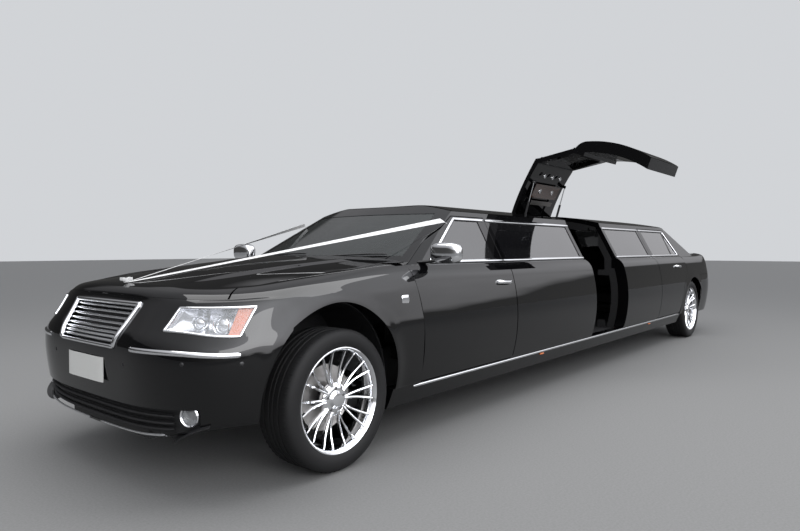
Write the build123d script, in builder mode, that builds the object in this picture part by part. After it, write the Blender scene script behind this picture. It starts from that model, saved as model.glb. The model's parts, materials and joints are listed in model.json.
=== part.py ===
from build123d import *
import os
from math import copysign, cos, hypot, radians, sin, sqrt

# Stretch limousine on a lengthened full-size saloon, with a roof-hinged kerb door.
# Millimetres. X points to the nose, Y to the left side, Z up. The origin lies on the
# ground, on the centre plane, midway between nose and tail.

# Overall sizes
WHEELBASE = 6354
NOSE_TO_AXLE = 865
AXLE_TO_TAIL = 1130
TRACK = 1611
BODY_HALF = 955
ROOF_Z = 1480
FRONT_AXLE_X = (WHEELBASE + AXLE_TO_TAIL - NOSE_TO_AXLE) / 2
REAR_AXLE_X = FRONT_AXLE_X - WHEELBASE
NOSE_X = FRONT_AXLE_X + NOSE_TO_AXLE
TAIL_X = REAR_AXLE_X - AXLE_TO_TAIL
LENGTH = NOSE_X - TAIL_X

# Body section heights and half widths
SILL_Z = 335
SILL_BOTTOM_Z = 235
SILL_HALF = BODY_HALF - 50
WAIST_Z = 690
SHOULDER_Z = 943
SHOULDER_HALF = BODY_HALF - 40
BELT_Z = 1043
BELT_HALF = BODY_HALF - 122
RAIL_Z = 1362
RAIL_HALF = BODY_HALF - 295
ROOF_EDGE_Z = 1400
ROOF_EDGE_HALF = BODY_HALF - 310

# Wall thicknesses
DOOR_WALL = 100
SKIN = 28
ROOF_WALL = 36
GLASS = 5
GLASS_INSET = 5

# Gaps: between moving panels, and round a seated pane
GAP = 6
SEAT = 0.3

# Seam stations
FRONT_SEAM_X = FRONT_AXLE_X - 605
B_SEAM_X = FRONT_AXLE_X - 1745
REAR_SEAM_X = REAR_AXLE_X + 1304
JET_FRONT_X = B_SEAM_X - 1445
JET_WIDTH = 785
JET_REAR_X = JET_FRONT_X - JET_WIDTH
JET_HINGE_Y = 75
JET_HINGE_Z = ROOF_Z + 6
JET_OPEN = 71
BULKHEAD_X = FRONT_AXLE_X - 330
BULKHEAD_WALL = 30
BOOT_WALL_X = REAR_AXLE_X - 90
FLOOR_TOP_Z = SILL_BOTTOM_Z + DOOR_WALL
FLOOR_WALL = 30
SHUT_LEAN = 0.4

# Windscreen and rear screen: foot on the centre line, corner setback, rake
SCREEN_FOOT_X = FRONT_AXLE_X - 505
SCREEN_RAKE = 26.5
REAR_FOOT_X = REAR_AXLE_X - 400
REAR_RAKE = 27
SCREEN_CORNER = 420
REAR_CORNER = 150
SCREEN_BASE_Z = 1060

# Bonnet and boot tops on the centre line
BONNET_REAR_X = FRONT_SEAM_X
BONNET_REAR_Z = 1102
BONNET_NOSE_Z = 945
BONNET_NOSE_X = FRONT_AXLE_X + 745
BONNET_LIP_Z = BONNET_NOSE_Z - 33
BONNET_HALF = BODY_HALF - 200
BONNET_NOSE_HALF = BODY_HALF - 335
BOOT_SLOPE_X = REAR_AXLE_X - 280
BOOT_FRONT_X = REAR_AXLE_X - 430
BOOT_TOP_Z = 1110
BOOT_TAIL_Z = 1075
CROWN_DROP = 62
NOSE_LEAN_Z = 650
TAIL_LEAN = 60
TAIL_LEAN_Z = 700
LID_Z = 800
BOOT_HALF = BODY_HALF - 255
NOSE_ARC_HALF = BODY_HALF - 475
NOSE_TAPER = 20

# Wheels and tyres
TYRE_R = 364
TYRE_WIDTH = 245
RIM_R = 272
RIM_WIDTH = 225
SPOKES = 10
WHEEL_Y = TRACK / 2
AXLE_Z = TYRE_R
STEER = 33
KINGPIN_OFFSET = 75
FRONT_ARCH_R = 461
FRONT_ARCH_SHIFT = 45
FRONT_ARCH_Z = 410
REAR_ARCH_R = 402
REAR_ARCH_Z = 372
LINER = 8
LINER_INNER_Y = BODY_HALF - 485
FULL = BODY_HALF + 60
LOW = SILL_Z + 20

os.makedirs("parts", exist_ok=True)


def save(builder, name):
    builder.part.label = name
    export_step(builder.part, "parts/" + name + ".step")


def block(x0, x1, y0, y1, z0, z1):
    """A private box between two corners."""
    centre = ((x0 + x1) / 2, (y0 + y1) / 2, (z0 + z1) / 2)
    return Pos(*centre) * Box(abs(x1 - x0), abs(y1 - y0), abs(z1 - z0), mode=Mode.PRIVATE)


def side_prism(points, y0, y1, corner=0):
    """A polygon in side view, as (x, z) corners, run from y0 to y1."""
    with BuildPart(Plane.XZ.offset(-y0), mode=Mode.PRIVATE) as prism:
        with BuildSketch(Plane.XZ.offset(-y0)) as outline:
            with BuildLine():
                Polyline(*points, close=True)
            make_face()
            if corner:
                fillet(outline.vertices(), corner)
        extrude(amount=-(y1 - y0))
    return prism.part


def y_cylinder(x, z, radius, y0, y1):
    """A private cylinder along Y."""
    with BuildPart(mode=Mode.PRIVATE) as drum:
        with BuildSketch(Plane.XZ.offset(-y0)):
            with Locations((x, z)):
                Circle(radius)
        extrude(amount=-(y1 - y0))
    return drum.part


def nose_outline(inset, half):
    """The plan of the nose, drawn in the open sketch line; returns its left and right cheeks."""
    nose_x = NOSE_X - inset
    corner = (nose_x - 95, BODY_HALF - 255 - inset / 2)
    bulge = (nose_x - 225, BODY_HALF - 83 - inset)
    nose = ThreePointArc((nose_x - 30, -NOSE_ARC_HALF), (nose_x, 0), (nose_x - 30, NOSE_ARC_HALF))
    Line(nose @ 1, corner)
    Line(nose @ 0, (corner[0], -corner[1]))
    left_cheek = ThreePointArc(corner, bulge, (nose_x - 480, half))
    right_cheek = ThreePointArc((corner[0], -corner[1]), (bulge[0], -bulge[1]), (nose_x - 480, -half))
    return left_cheek, right_cheek


def nose_cone(inset):
    """Room for the body above the bumper's crest: nose and cheeks lean in together, the sides run free."""
    with BuildPart(mode=Mode.PRIVATE) as cone:
        with BuildSketch(Plane.XY.offset(NOSE_LEAN_Z)):
            with BuildLine():
                left_cheek, right_cheek = nose_outline(inset, BODY_HALF + 25 - inset)
                wide = 2 * BODY_HALF
                back_x = TAIL_X - BODY_HALF
                Polyline(left_cheek @ 1, (FRONT_SEAM_X, wide), (back_x, wide), (back_x, -wide), (FRONT_SEAM_X, -wide),
                         right_cheek @ 1)
            make_face()
        extrude(amount=ROOF_Z - NOSE_LEAN_Z, taper=NOSE_TAPER)
    return cone.part


def lower_body(inset):
    """The body below the belt: cross-section, plan and crowned lids, all inset."""
    with BuildPart() as form:
        with BuildSketch(Plane.YZ.offset(TAIL_X - 50)):
            with BuildLine():
                side = ThreePointArc((SILL_HALF - inset, SILL_Z), (BODY_HALF - inset, WAIST_Z),
                                     (SHOULDER_HALF - inset, SHOULDER_Z))
                brow = ThreePointArc(side @ 1, (BELT_HALF + 52 - inset, BELT_Z - 38),
                                     (BELT_HALF - inset, BELT_Z))
                Polyline(brow @ 1, (BELT_HALF - 40 - inset, ROOF_Z), (0, ROOF_Z), (0, SILL_BOTTOM_Z + inset),
                         (SILL_HALF - 25 - inset, SILL_BOTTOM_Z + inset), side @ 0)
            make_face()
            mirror(about=Plane.YZ)
        extrude(amount=LENGTH + 100)
        with BuildSketch(Plane.XY.offset(SILL_BOTTOM_Z)):
            with BuildLine():
                tail_x = TAIL_X + inset
                half = BODY_HALF + 25 - inset
                left_cheek, right_cheek = nose_outline(inset, half)
                tail = ThreePointArc((tail_x + 25, -NOSE_ARC_HALF), (tail_x, 0), (tail_x + 25, NOSE_ARC_HALF))
                hip_half = BODY_HALF - 105 - inset
                hip = ThreePointArc(tail @ 1, (tail_x + 150, hip_half), (tail_x + 420, half))
                right_hip = ThreePointArc(tail @ 0, (tail_x + 150, -hip_half), (tail_x + 420, -half))
                Line(left_cheek @ 1, hip @ 1)
                Line(right_cheek @ 1, right_hip @ 1)
            make_face()
        extrude(amount=ROOF_Z, mode=Mode.INTERSECT)
        add(lid_sweep(BONNET_REAR_X, BONNET_REAR_Z, BONNET_NOSE_X, BONNET_NOSE_Z, inset), mode=Mode.SUBTRACT)
        add(lid_sweep(BOOT_SLOPE_X, BOOT_TOP_Z, TAIL_X, BOOT_TAIL_Z, inset), mode=Mode.SUBTRACT)
        add(block(BOOT_SLOPE_X, BONNET_REAR_X, -BODY_HALF, BODY_HALF, BELT_Z - inset, ROOF_Z + 9),
            mode=Mode.SUBTRACT)
    return form.part


def trimmed_ends(form, inset):
    """The lower body with the nose and the tail face leaning inboard towards the lids."""
    tail_lean = [(TAIL_X - 5 + inset, TAIL_LEAN_Z), (TAIL_X + TAIL_LEAN + inset, BOOT_TAIL_Z),
                 (TAIL_X + TAIL_LEAN + inset, ROOF_Z), (TAIL_X - 400, ROOF_Z), (TAIL_X - 400, TAIL_LEAN_Z)]
    with BuildPart() as cut:
        add(form)
        add(block(FRONT_SEAM_X, NOSE_X + 50, -FULL, FULL, NOSE_LEAN_Z, ROOF_Z + 50) - nose_cone(inset),
            mode=Mode.SUBTRACT)
        add(side_prism(tail_lean, -FULL, FULL), mode=Mode.SUBTRACT)
    return cut.part


def lid_sweep(x0, z0, x1, z1, inset):
    """All that lies above a crowned lid whose top runs from (x0, z0) to (x1, z1)."""
    run = Plane(origin=(x0, 0, z0 - inset), x_dir=(0, 1, 0), z_dir=(x1 - x0, 0, z1 - z0))
    up = 1 if x1 > x0 else -1
    far = BODY_HALF + 90
    with BuildPart(mode=Mode.PRIVATE) as air:
        with BuildSketch(run.offset(-150)):
            with BuildLine():
                crown = ThreePointArc((-far, -up * CROWN_DROP), (0, 0), (far, -up * CROWN_DROP))
                Polyline(crown @ 1, (far, up * 900), (-far, up * 900), crown @ 0)
            make_face()
        extrude(amount=abs(x1 - x0) + 500)
    return air.part


def greenhouse(inset, roof_inset):
    """The glasshouse: leaning sides under a crowned roof, with curved, raked screens."""
    with BuildPart() as form:
        with BuildSketch(Plane.YZ.offset(TAIL_X)):
            with BuildLine():
                base = Line((0, BELT_Z - 120), (BELT_HALF - inset, BELT_Z - 120))
                wall = Line(base @ 1, (BELT_HALF - inset, BELT_Z))
                lean = Line(wall @ 1, (RAIL_HALF - inset, RAIL_Z))
                rail = Line(lean @ 1, (ROOF_EDGE_HALF - inset, ROOF_EDGE_Z - roof_inset))
                crown = ThreePointArc(rail @ 1, (350, ROOF_Z - 24 - roof_inset), (0, ROOF_Z - roof_inset))
                Line(crown @ 1, base @ 0)
            make_face()
            mirror(about=Plane.YZ)
        extrude(amount=LENGTH)
        add(screen_air(SCREEN_FOOT_X - inset, SCREEN_CORNER, SCREEN_RAKE, 1), mode=Mode.SUBTRACT)
        add(screen_air(REAR_FOOT_X + inset, REAR_CORNER, REAR_RAKE, -1), mode=Mode.SUBTRACT)
        with BuildSketch(Plane.XZ.offset(BODY_HALF)):
            with BuildLine():
                front = ThreePointArc((SCREEN_FOOT_X, 1330 - roof_inset),
                                      (FRONT_AXLE_X - 1060, 1419 - roof_inset),
                                      (FRONT_AXLE_X - 2000, ROOF_Z - roof_inset))
                top = Line(front @ 1, (REAR_SEAM_X + 300, ROOF_Z - roof_inset))
                rear = ThreePointArc(top @ 1, (REAR_SEAM_X - 750, 1440 - roof_inset),
                                     (REAR_FOOT_X, 1280 - roof_inset))
                Polyline(rear @ 1, (REAR_FOOT_X, BELT_Z - 140), (SCREEN_FOOT_X, BELT_Z - 140), front @ 0)
            make_face()
        extrude(amount=-2 * BODY_HALF, mode=Mode.INTERSECT)
    return form.part


def screen_air(foot_x, corner, rake, facing):
    """All that lies outside a bowed, raked screen; facing is 1 in front and -1 behind."""
    angle = radians(rake)
    rise = (-facing * cos(angle), 0, sin(angle))
    run = Plane(origin=(foot_x, 0, SCREEN_BASE_Z), x_dir=(0, 1, 0), z_dir=rise)
    out = 1 if run.y_dir.Z > 0 else -1
    side = 1000
    drop = corner * sin(angle)
    with BuildPart(mode=Mode.PRIVATE) as air:
        with BuildSketch(run.offset(-420)):
            with BuildLine():
                bow = ThreePointArc((-side, -out * drop), (0, 0), (side, -out * drop))
                Polyline(bow @ 1, (side, out * 1500), (-side, out * 1500), bow @ 0)
            make_face()
        extrude(amount=2200)
    return air.part


# Wheel openings: centre and radius in side view
ARCHES = [(FRONT_AXLE_X + FRONT_ARCH_SHIFT, FRONT_ARCH_Z, FRONT_ARCH_R),
          (REAR_AXLE_X, REAR_ARCH_Z, REAR_ARCH_R)]

# Whole forms: the outside, the inside of thick walls, and the inside of thin skins
lower = trimmed_ends(lower_body(0), 0)
upper = greenhouse(0, 0)
lower_skin = trimmed_ends(lower_body(SKIN), SKIN)
lower_wall = lower_body(DOOR_WALL)
upper_wall = greenhouse(DOOR_WALL / 2, ROOF_WALL)
glass_out = greenhouse(GLASS_INSET, GLASS_INSET)
glass_in = greenhouse(GLASS_INSET + GLASS, GLASS_INSET + GLASS)

with BuildPart() as cabin_void:
    add(lower_wall)
    add(upper_wall)
    add(block(BOOT_WALL_X, BULKHEAD_X, -BODY_HALF, BODY_HALF, FLOOR_TOP_Z, ROOF_Z), mode=Mode.INTERSECT)

with BuildPart() as end_voids:
    add(lower_skin)
    add(block(BOOT_WALL_X, BULKHEAD_X, -BODY_HALF, BODY_HALF, 0, ROOF_Z),
        mode=Mode.SUBTRACT)

with BuildPart() as wheel_wells:
    for x, z, radius in ARCHES:
        add(y_cylinder(x, z, radius + LINER, LINER_INNER_Y, BODY_HALF + 50))
    mirror(about=Plane.XZ)

with BuildPart() as shell:
    add(lower)
    add(upper)
    add(cabin_void.part, mode=Mode.SUBTRACT)
    add(end_voids.part, mode=Mode.SUBTRACT)
    inner_half = BODY_HALF - DOOR_WALL
    add(block(TAIL_X + 160, NOSE_X - 110, -inner_half, inner_half, 0, FLOOR_TOP_Z + 1), mode=Mode.SUBTRACT)
    add(wheel_wells.part, mode=Mode.SUBTRACT)


def panel(*regions):
    """The piece of the shell inside every region."""
    piece = shell.part
    for region in regions:
        piece = piece & region
    return piece


# Side windows, in side view, as corners (x, z), by name
GLASS_LOW = BELT_Z + 22
GLASS_TOP = RAIL_Z - 24
FRONT_WINDOW = [(FRONT_SEAM_X - 255, GLASS_LOW), (B_SEAM_X + 95, GLASS_LOW), (B_SEAM_X + 95, GLASS_TOP),
                (FRONT_SEAM_X - 730, GLASS_TOP)]
REAR_WINDOW = [(REAR_SEAM_X - 90, GLASS_LOW), (REAR_AXLE_X + 524, GLASS_LOW), (REAR_AXLE_X + 464, GLASS_TOP),
               (REAR_SEAM_X - 90, GLASS_TOP)]
QUARTER_WINDOW = [(REAR_AXLE_X + 500, GLASS_LOW), (REAR_AXLE_X + 300, GLASS_LOW + 12),
                  (REAR_AXLE_X + 410, GLASS_TOP - 25), (REAR_AXLE_X + 440, GLASS_TOP)]


def pane_strip(x0, x1):
    """A plain window between two stations."""
    return [(x0, GLASS_LOW), (x1, GLASS_LOW), (x1, GLASS_TOP), (x0, GLASS_TOP)]


STRETCH_PANES = [(B_SEAM_X - 60, JET_FRONT_X + 60), (JET_REAR_X - 60, REAR_SEAM_X + 60)]
STRETCH_PANES_RIGHT = [(B_SEAM_X - 60, B_SEAM_X - 1500), (B_SEAM_X - 1560, REAR_SEAM_X + 60)]
JET_PANE = (JET_FRONT_X - 75, JET_REAR_X + 75)


def side_region(outline, side):
    """A side-view outline run square through one wall; side is 1 for left and -1 for right."""
    return side_prism(outline, side * 240, side * FULL)


def body_half(z):
    """The half width of the outside at a height."""
    if z <= SHOULDER_Z - 40:
        return BODY_HALF
    if z <= BELT_Z - 30:
        return SHOULDER_HALF
    return BELT_HALF - (BELT_HALF - RAIL_HALF) * (z - BELT_Z) / (RAIL_Z - BELT_Z)


def leaning_region(outline, side):
    """The same outline on the outside, leaning forward on its way inboard."""
    points = [(x - SHUT_LEAN * (FULL - body_half(z)), z) for x, z in outline]
    depth = (FULL - 240) * sqrt(1 + SHUT_LEAN ** 2)
    with BuildPart(mode=Mode.PRIVATE) as region:
        with BuildSketch(Plane.XZ.offset(-side * FULL)):
            with BuildLine():
                Polyline(*points, close=True)
            make_face()
        extrude(amount=depth, dir=(SHUT_LEAN, -side, 0))
    return region.part


def door_region(hinge_edge, shut_edge, side):
    """A door's space: square at its hinged edge, leaning forward inboard at its shut edge."""
    far = 500
    behind_x = shut_edge[-1][0] - far
    square = hinge_edge + [(behind_x, hinge_edge[-1][1]), (behind_x, hinge_edge[0][1])]
    leaning = shut_edge + [(hinge_edge[-1][0] + far, shut_edge[-1][1]), (hinge_edge[0][0] + far, shut_edge[0][1])]
    return side_region(square, side) & leaning_region(leaning, side)


def shrunk(points, gap):
    """A convex outline with every edge moved inward by a gap."""
    ring = points[-1:] + points + points[:1]
    turning = sum(a[0] * b[1] - b[0] * a[1] for a, b in zip(ring[1:], ring[2:]))
    inner = []
    for a, b, c in zip(ring, ring[1:], ring[2:]):
        before = hypot(b[0] - a[0], b[1] - a[1])
        after = hypot(c[0] - b[0], c[1] - b[1])
        n1 = (-(b[1] - a[1]) / before, (b[0] - a[0]) / before)
        n2 = (-(c[1] - b[1]) / after, (c[0] - b[0]) / after)
        step = gap * copysign(1, turning) / (1 + n1[0] * n2[0] + n1[1] * n2[1])
        inner.append((b[0] + step * (n1[0] + n2[0]), b[1] + step * (n1[1] + n2[1])))
    return inner


def pane(points, side):
    """A sheet of glass in its window, a seat gap inside the hole."""
    return (glass_out - glass_in) & side_region(shrunk(points, SEAT), side)


def face_prism(points, x0, x1):
    """A polygon seen from the front, as (y, z) corners of its left half, run from x0 to x1."""
    with BuildPart(mode=Mode.PRIVATE) as prism:
        with BuildSketch(Plane.YZ.offset(x0)):
            with BuildLine():
                Polyline(*points, *[(-y, z) for y, z in reversed(points)], close=True)
            make_face()
        extrude(amount=x1 - x0)
    return prism.part


def turned(part, y, z, angle):
    """A part turned about the X line through (y, z)."""
    return part.rotate(Axis((0, y, z), (1, 0, 0)), angle)


def door_slab(side, grow):
    """All that lies outboard of a door's inner face, which leans in with the glass above the belt."""
    deep = 62 + grow
    inner = [(RAIL_HALF - deep - 12, RAIL_Z + 60), (BELT_HALF - deep, BELT_Z), (BELT_HALF - deep - 90, BELT_Z - 60),
             (BELT_HALF - deep - 90, 0)]
    with BuildPart(mode=Mode.PRIVATE) as slab:
        with BuildSketch(Plane.YZ.offset(TAIL_X)):
            with BuildLine():
                Polyline((side * (FULL + 9), 0), (side * (FULL + 9), RAIL_Z + 60), *[(side * y, z) for y, z in inner],
                         close=True)
            make_face()
        extrude(amount=LENGTH)
    return slab.part


def front_door_region(side, grow):
    """Hinged edge from the sill up the windscreen pillar; shut edge straight at the middle pillar."""
    hinge_edge = [(FRONT_SEAM_X - 55 + grow, LOW - grow), (FRONT_SEAM_X - 40 + grow, 700),
                  (FRONT_SEAM_X + grow, BELT_Z - 60), (FRONT_SEAM_X - 5 + grow, BELT_Z - 30 + grow),
                  (FRONT_AXLE_X - 1330, RAIL_Z + grow)]
    heights = (LOW - grow - 50, SHOULDER_Z - 41, BELT_Z - 31, BELT_Z, RAIL_Z + grow + 50)
    shut_edge = [(B_SEAM_X - grow, z) for z in heights]
    return door_region(hinge_edge, shut_edge, side) & door_slab(side, grow)


def rear_door_region(side, grow):
    """Hinged edge upright; shut edge follows the wheel arch and the rear pillar."""
    hinge_edge = [(REAR_SEAM_X + grow, LOW - grow), (REAR_SEAM_X + grow, RAIL_Z + grow)]
    shut_edge = [(REAR_AXLE_X + 480 - grow, LOW - grow - 50), (REAR_AXLE_X + 470 - grow, 560),
                 (REAR_AXLE_X + 395 - grow, 720), (REAR_AXLE_X + 255 - grow, 850),
                 (REAR_AXLE_X + 240 - grow, SHOULDER_Z - 41), (REAR_AXLE_X + 240 - grow, BELT_Z - 31),
                 (REAR_AXLE_X + 245 - grow, BELT_Z),
                 (REAR_AXLE_X + 385 - grow, RAIL_Z), (REAR_AXLE_X + 405 - grow, RAIL_Z + grow + 50)]
    return door_region(hinge_edge, shut_edge, side)


def jet_region(grow):
    return block(JET_REAR_X + GAP / 2 - grow, JET_FRONT_X - GAP / 2 + grow, JET_HINGE_Y - grow, FULL,
                 LOW - grow, ROOF_Z + 50)


def bonnet_region(grow):
    with BuildPart(mode=Mode.PRIVATE) as region:
        with BuildSketch(Plane.XY.offset(BONNET_LIP_Z - grow)):
            with BuildLine():
                corner = (BONNET_EDGE_X - grow, BONNET_HALF + grow)
                rear = ThreePointArc((corner[0], -corner[1]), (BONNET_EDGE_X + BONNET_BOW - 2 * grow, 0), corner)
                front = (BONNET_NOSE_X + grow, BONNET_NOSE_HALF + grow)
                Polyline(rear @ 1, front, (front[0], -front[1]), rear @ 0)
            make_face()
        extrude(amount=400)
    return region.part


def boot_region(grow):
    return block(TAIL_X - 50, BOOT_FRONT_X + grow, -BOOT_HALF - grow, BOOT_HALF + grow, LID_Z - grow, ROOF_Z)


def lamp_region(grow):
    with BuildPart(mode=Mode.PRIVATE) as region:
        for side in (1, -1):
            add(block(FRONT_AXLE_X + 500 - grow, NOSE_X + 50, side * (LAMP_INNER_Y - grow), side * FULL,
                      LAMP_LOW_Z - grow, LAMP_TOP_Z + grow))
    return region.part


def rear_bumper_region():
    return block(TAIL_X - 50, REAR_AXLE_X - 330, -FULL, FULL, 0, LID_Z - GAP)


def tail_lamp_region(grow):
    with BuildPart(mode=Mode.PRIVATE) as region:
        for side in (1, -1):
            add(block(TAIL_X - 50, TAIL_X + 330 + grow, side * (BOOT_HALF + GAP), side * FULL,
                      LID_Z - GAP, TAIL_LAMP_TOP_Z + grow))
    return region.part


FACE_BACK_X = FRONT_AXLE_X + 600
FACE_FRONT_X = NOSE_X + 50
BONNET_EDGE_X = FRONT_SEAM_X + 41
BONNET_BOW = 165
LAMP_INNER_Y = 570
LAMP_LOW_Z = 748
LAMP_TOP_Z = 872
BUMPER_SEAM_Z = 755
TAIL_LAMP_TOP_Z = 1000
SCREEN_HOLE = [(BODY_HALF - 265, 1092), (BODY_HALF - 395, 1384)]
REAR_HOLE = [(BODY_HALF - 315, 1128), (BODY_HALF - 415, 1384)]
GRILLE_HOLE = [(283, 560), (325, 875)]
INTAKE_HOLE = [(420, 330), (450, 455)]

HINGE_ZS = (500, 830)
HINGE_LEAF_Y = BODY_HALF - 425
LID_LEAF_Y = BODY_HALF - 545


def hinge_band(x, side, z):
    """Where a door's hinge leaf reaches over the shut gap to the post in front of it."""
    return block(x - 80, x + 20, side * (BODY_HALF - 85), side * (BODY_HALF - 55), z, z + 70)


print("doors")
everything = []


def keep(builder, name):
    save(builder, name)
    everything.append(name)
    print(name, len(builder.part.solids()), round(builder.part.volume / 1e6, 2))


for side, hand in ((1, "left"), (-1, "right")):
    with BuildPart() as front_door:
        add(panel(front_door_region(side, 0)))
        for z in HINGE_ZS:
            add(panel(front_door_region(side, GAP - SEAT), hinge_band(FRONT_SEAM_X, side, z)))
        add(side_region(FRONT_WINDOW, side), mode=Mode.SUBTRACT)
    keep(front_door, "front_door_" + hand)
    with BuildPart() as front_glass:
        add(pane(FRONT_WINDOW, side))
    keep(front_glass, "front_door_glass_" + hand)
    with BuildPart() as rear_door:
        add(panel(rear_door_region(side, 0)))
        for z in HINGE_ZS:
            add(panel(rear_door_region(side, GAP - SEAT), hinge_band(REAR_SEAM_X, side, z)))
        for window in (REAR_WINDOW, QUARTER_WINDOW):
            add(side_region(window, side), mode=Mode.SUBTRACT)
    keep(rear_door, "rear_door_" + hand)
    with BuildPart() as rear_glass:
        add(pane(REAR_WINDOW, side))
        add(pane(QUARTER_WINDOW, side))
    keep(rear_glass, "rear_door_glass_" + hand)

STRUT_FOOT = (185, 1387)
STRUT_EYE_SHUT = (430, 1370)
STRUT_PIN_R = 6
STRUT_TUBE_R = 11
STRUT_ROD_R = 5
STRUT_XS = (JET_FRONT_X - 50, JET_REAR_X + 50)
open_turn = radians(JET_OPEN)
shut_arm = (STRUT_EYE_SHUT[0] - JET_HINGE_Y, STRUT_EYE_SHUT[1] - JET_HINGE_Z)
STRUT_EYE = (JET_HINGE_Y + shut_arm[0] * cos(open_turn) - shut_arm[1] * sin(open_turn),
             JET_HINGE_Z + shut_arm[0] * sin(open_turn) + shut_arm[1] * cos(open_turn))
reach_y = STRUT_EYE[0] - STRUT_FOOT[0]
reach_z = STRUT_EYE[1] - STRUT_FOOT[1]
STRUT_OPEN = sqrt(reach_y ** 2 + reach_z ** 2)
STRUT_SHUT = sqrt((STRUT_EYE_SHUT[0] - STRUT_FOOT[0]) ** 2 + (STRUT_EYE_SHUT[1] - STRUT_FOOT[1]) ** 2)
strut_dir = (0, reach_y / STRUT_OPEN, reach_z / STRUT_OPEN)
LUG_GAP = SEAT
LUG_THICK = 12

print("jet door")
jet_window = pane_strip(*JET_PANE)
with BuildPart() as shut_jet_door:
    add(panel(jet_region(0)))
    add(side_region(jet_window, 1), mode=Mode.SUBTRACT)
    for x, out in zip(STRUT_XS, (1, -1)):
        near = x - out * (7 + LUG_GAP)
        add(block(near, near - out * LUG_THICK, STRUT_EYE_SHUT[0] - 15, STRUT_EYE_SHUT[0] + 15,
                  STRUT_EYE_SHUT[1] - 15, STRUT_EYE_SHUT[1] + 55))
with BuildPart() as jet_door:
    add(turned(shut_jet_door.part, JET_HINGE_Y, JET_HINGE_Z, JET_OPEN))
keep(jet_door, "jet_door")
with BuildPart() as jet_glass:
    add(turned(pane(jet_window, 1), JET_HINGE_Y, JET_HINGE_Z, JET_OPEN))
keep(jet_glass, "jet_door_glass")

print("fixed body")
doors_grown = [front_door_region(1, GAP), front_door_region(-1, GAP), rear_door_region(1, GAP),
               rear_door_region(-1, GAP), jet_region(GAP)]

with BuildPart() as fixed_shell:
    add(shell)
    for region in doors_grown:
        add(region, mode=Mode.SUBTRACT)
print("fixed shell", len(fixed_shell.part.solids()))


def fixed(*regions):
    """The piece of the fixed shell inside every region."""
    piece = fixed_shell.part
    for region in regions:
        piece = piece & region
    return piece


ALL_Y = (-FULL, FULL)

# Fixed walls of the stretch, by side, front station and rear station
STRETCH_WALLS = [(1, B_SEAM_X, JET_FRONT_X), (1, JET_REAR_X, REAR_SEAM_X), (-1, B_SEAM_X, REAR_SEAM_X)]

with BuildPart() as roof:
    add(fixed(block(TAIL_X, NOSE_X, *ALL_Y, RAIL_Z, ROOF_Z + 9)))
    add(fixed(block(FRONT_SEAM_X - 900, SCREEN_FOOT_X + 200, *ALL_Y, BELT_Z + 12, RAIL_Z)))
    add(face_prism(SCREEN_HOLE, FRONT_AXLE_X - 1600, NOSE_X), mode=Mode.SUBTRACT)
    add(bonnet_region(2 * GAP), mode=Mode.SUBTRACT)
    add(face_prism(REAR_HOLE, TAIL_X, REAR_AXLE_X + 600), mode=Mode.SUBTRACT)
keep(roof, "roof")
with BuildPart() as stretch:
    for side, x0, x1 in STRETCH_WALLS:
        add(fixed(block(x1, x0 + 300, side * 240, side * FULL, LOW - GAP, RAIL_Z)))
    for x0, x1 in STRETCH_PANES:
        add(side_region(pane_strip(x0, x1), 1), mode=Mode.SUBTRACT)
    for x0, x1 in STRETCH_PANES_RIGHT:
        add(side_region(pane_strip(x0, x1), -1), mode=Mode.SUBTRACT)
keep(stretch, "stretch_panels")
with BuildPart() as quarters:
    for side in (1, -1):
        add(fixed(block(REAR_AXLE_X - 800, REAR_SEAM_X, side * 240, side * FULL, LOW - GAP, RAIL_Z)))
        add(fixed(block(TAIL_X, REAR_AXLE_X - 800, side * 240, side * FULL, LID_Z - GAP, RAIL_Z)))
    add(boot_region(GAP), mode=Mode.SUBTRACT)
    add(rear_bumper_region(), mode=Mode.SUBTRACT)
    add(tail_lamp_region(0), mode=Mode.SUBTRACT)
    add(face_prism(REAR_HOLE, TAIL_X, REAR_AXLE_X + 600), mode=Mode.SUBTRACT)
keep(quarters, "quarter_panels")

with BuildPart() as shelf:
    add(fixed(block(BOOT_FRONT_X + GAP, BOOT_WALL_X - BULKHEAD_WALL, -240, 240, 1000, REAR_HOLE[0][1])))
keep(shelf, "rear_shelf")

with BuildPart() as fixed_glass:
    for x0, x1 in STRETCH_PANES:
        add(pane(pane_strip(x0, x1), 1))
    for x0, x1 in STRETCH_PANES_RIGHT:
        add(pane(pane_strip(x0, x1), -1))
keep(fixed_glass, "fixed_side_glass")


def screen(hole, x0, x1):
    """A bowed sheet of glass seated in a screen opening."""
    (low_y, low_z), (top_y, top_z) = hole
    seated = [(low_y - SEAT, low_z + SEAT), (top_y - SEAT, top_z - SEAT)]
    return (glass_out - glass_in) & face_prism(seated, x0, x1)


with BuildPart() as windscreen:
    add(screen(SCREEN_HOLE, FRONT_AXLE_X - 1600, NOSE_X))
keep(windscreen, "windscreen")
with BuildPart() as rear_screen:
    add(screen(REAR_HOLE, TAIL_X, REAR_AXLE_X + 600))
keep(rear_screen, "rear_screen")

with BuildPart() as bonnet:
    add(panel(bonnet_region(0)))
    add(lower_skin, mode=Mode.SUBTRACT)
    for side in (1, -1):
        leaf = block(BONNET_EDGE_X + 50, BONNET_EDGE_X + 120, side * (HINGE_LEAF_Y - 30),
                     side * (HINGE_LEAF_Y + 30), BELT_Z, ROOF_Z)
        add(panel(bonnet_region(GAP - SEAT), leaf) - lower_skin)
keep(bonnet, "bonnet")
with BuildPart() as boot_lid:
    add(panel(boot_region(0)))
    for side in (1, -1):
        leaf = block(BOOT_FRONT_X - 30, BOOT_FRONT_X + 30, side * (LID_LEAF_Y - 30), side * (LID_LEAF_Y + 30),
                     1000, BOOT_TOP_Z)
        add(panel(boot_region(GAP - SEAT), leaf))
keep(boot_lid, "boot_lid")

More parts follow.
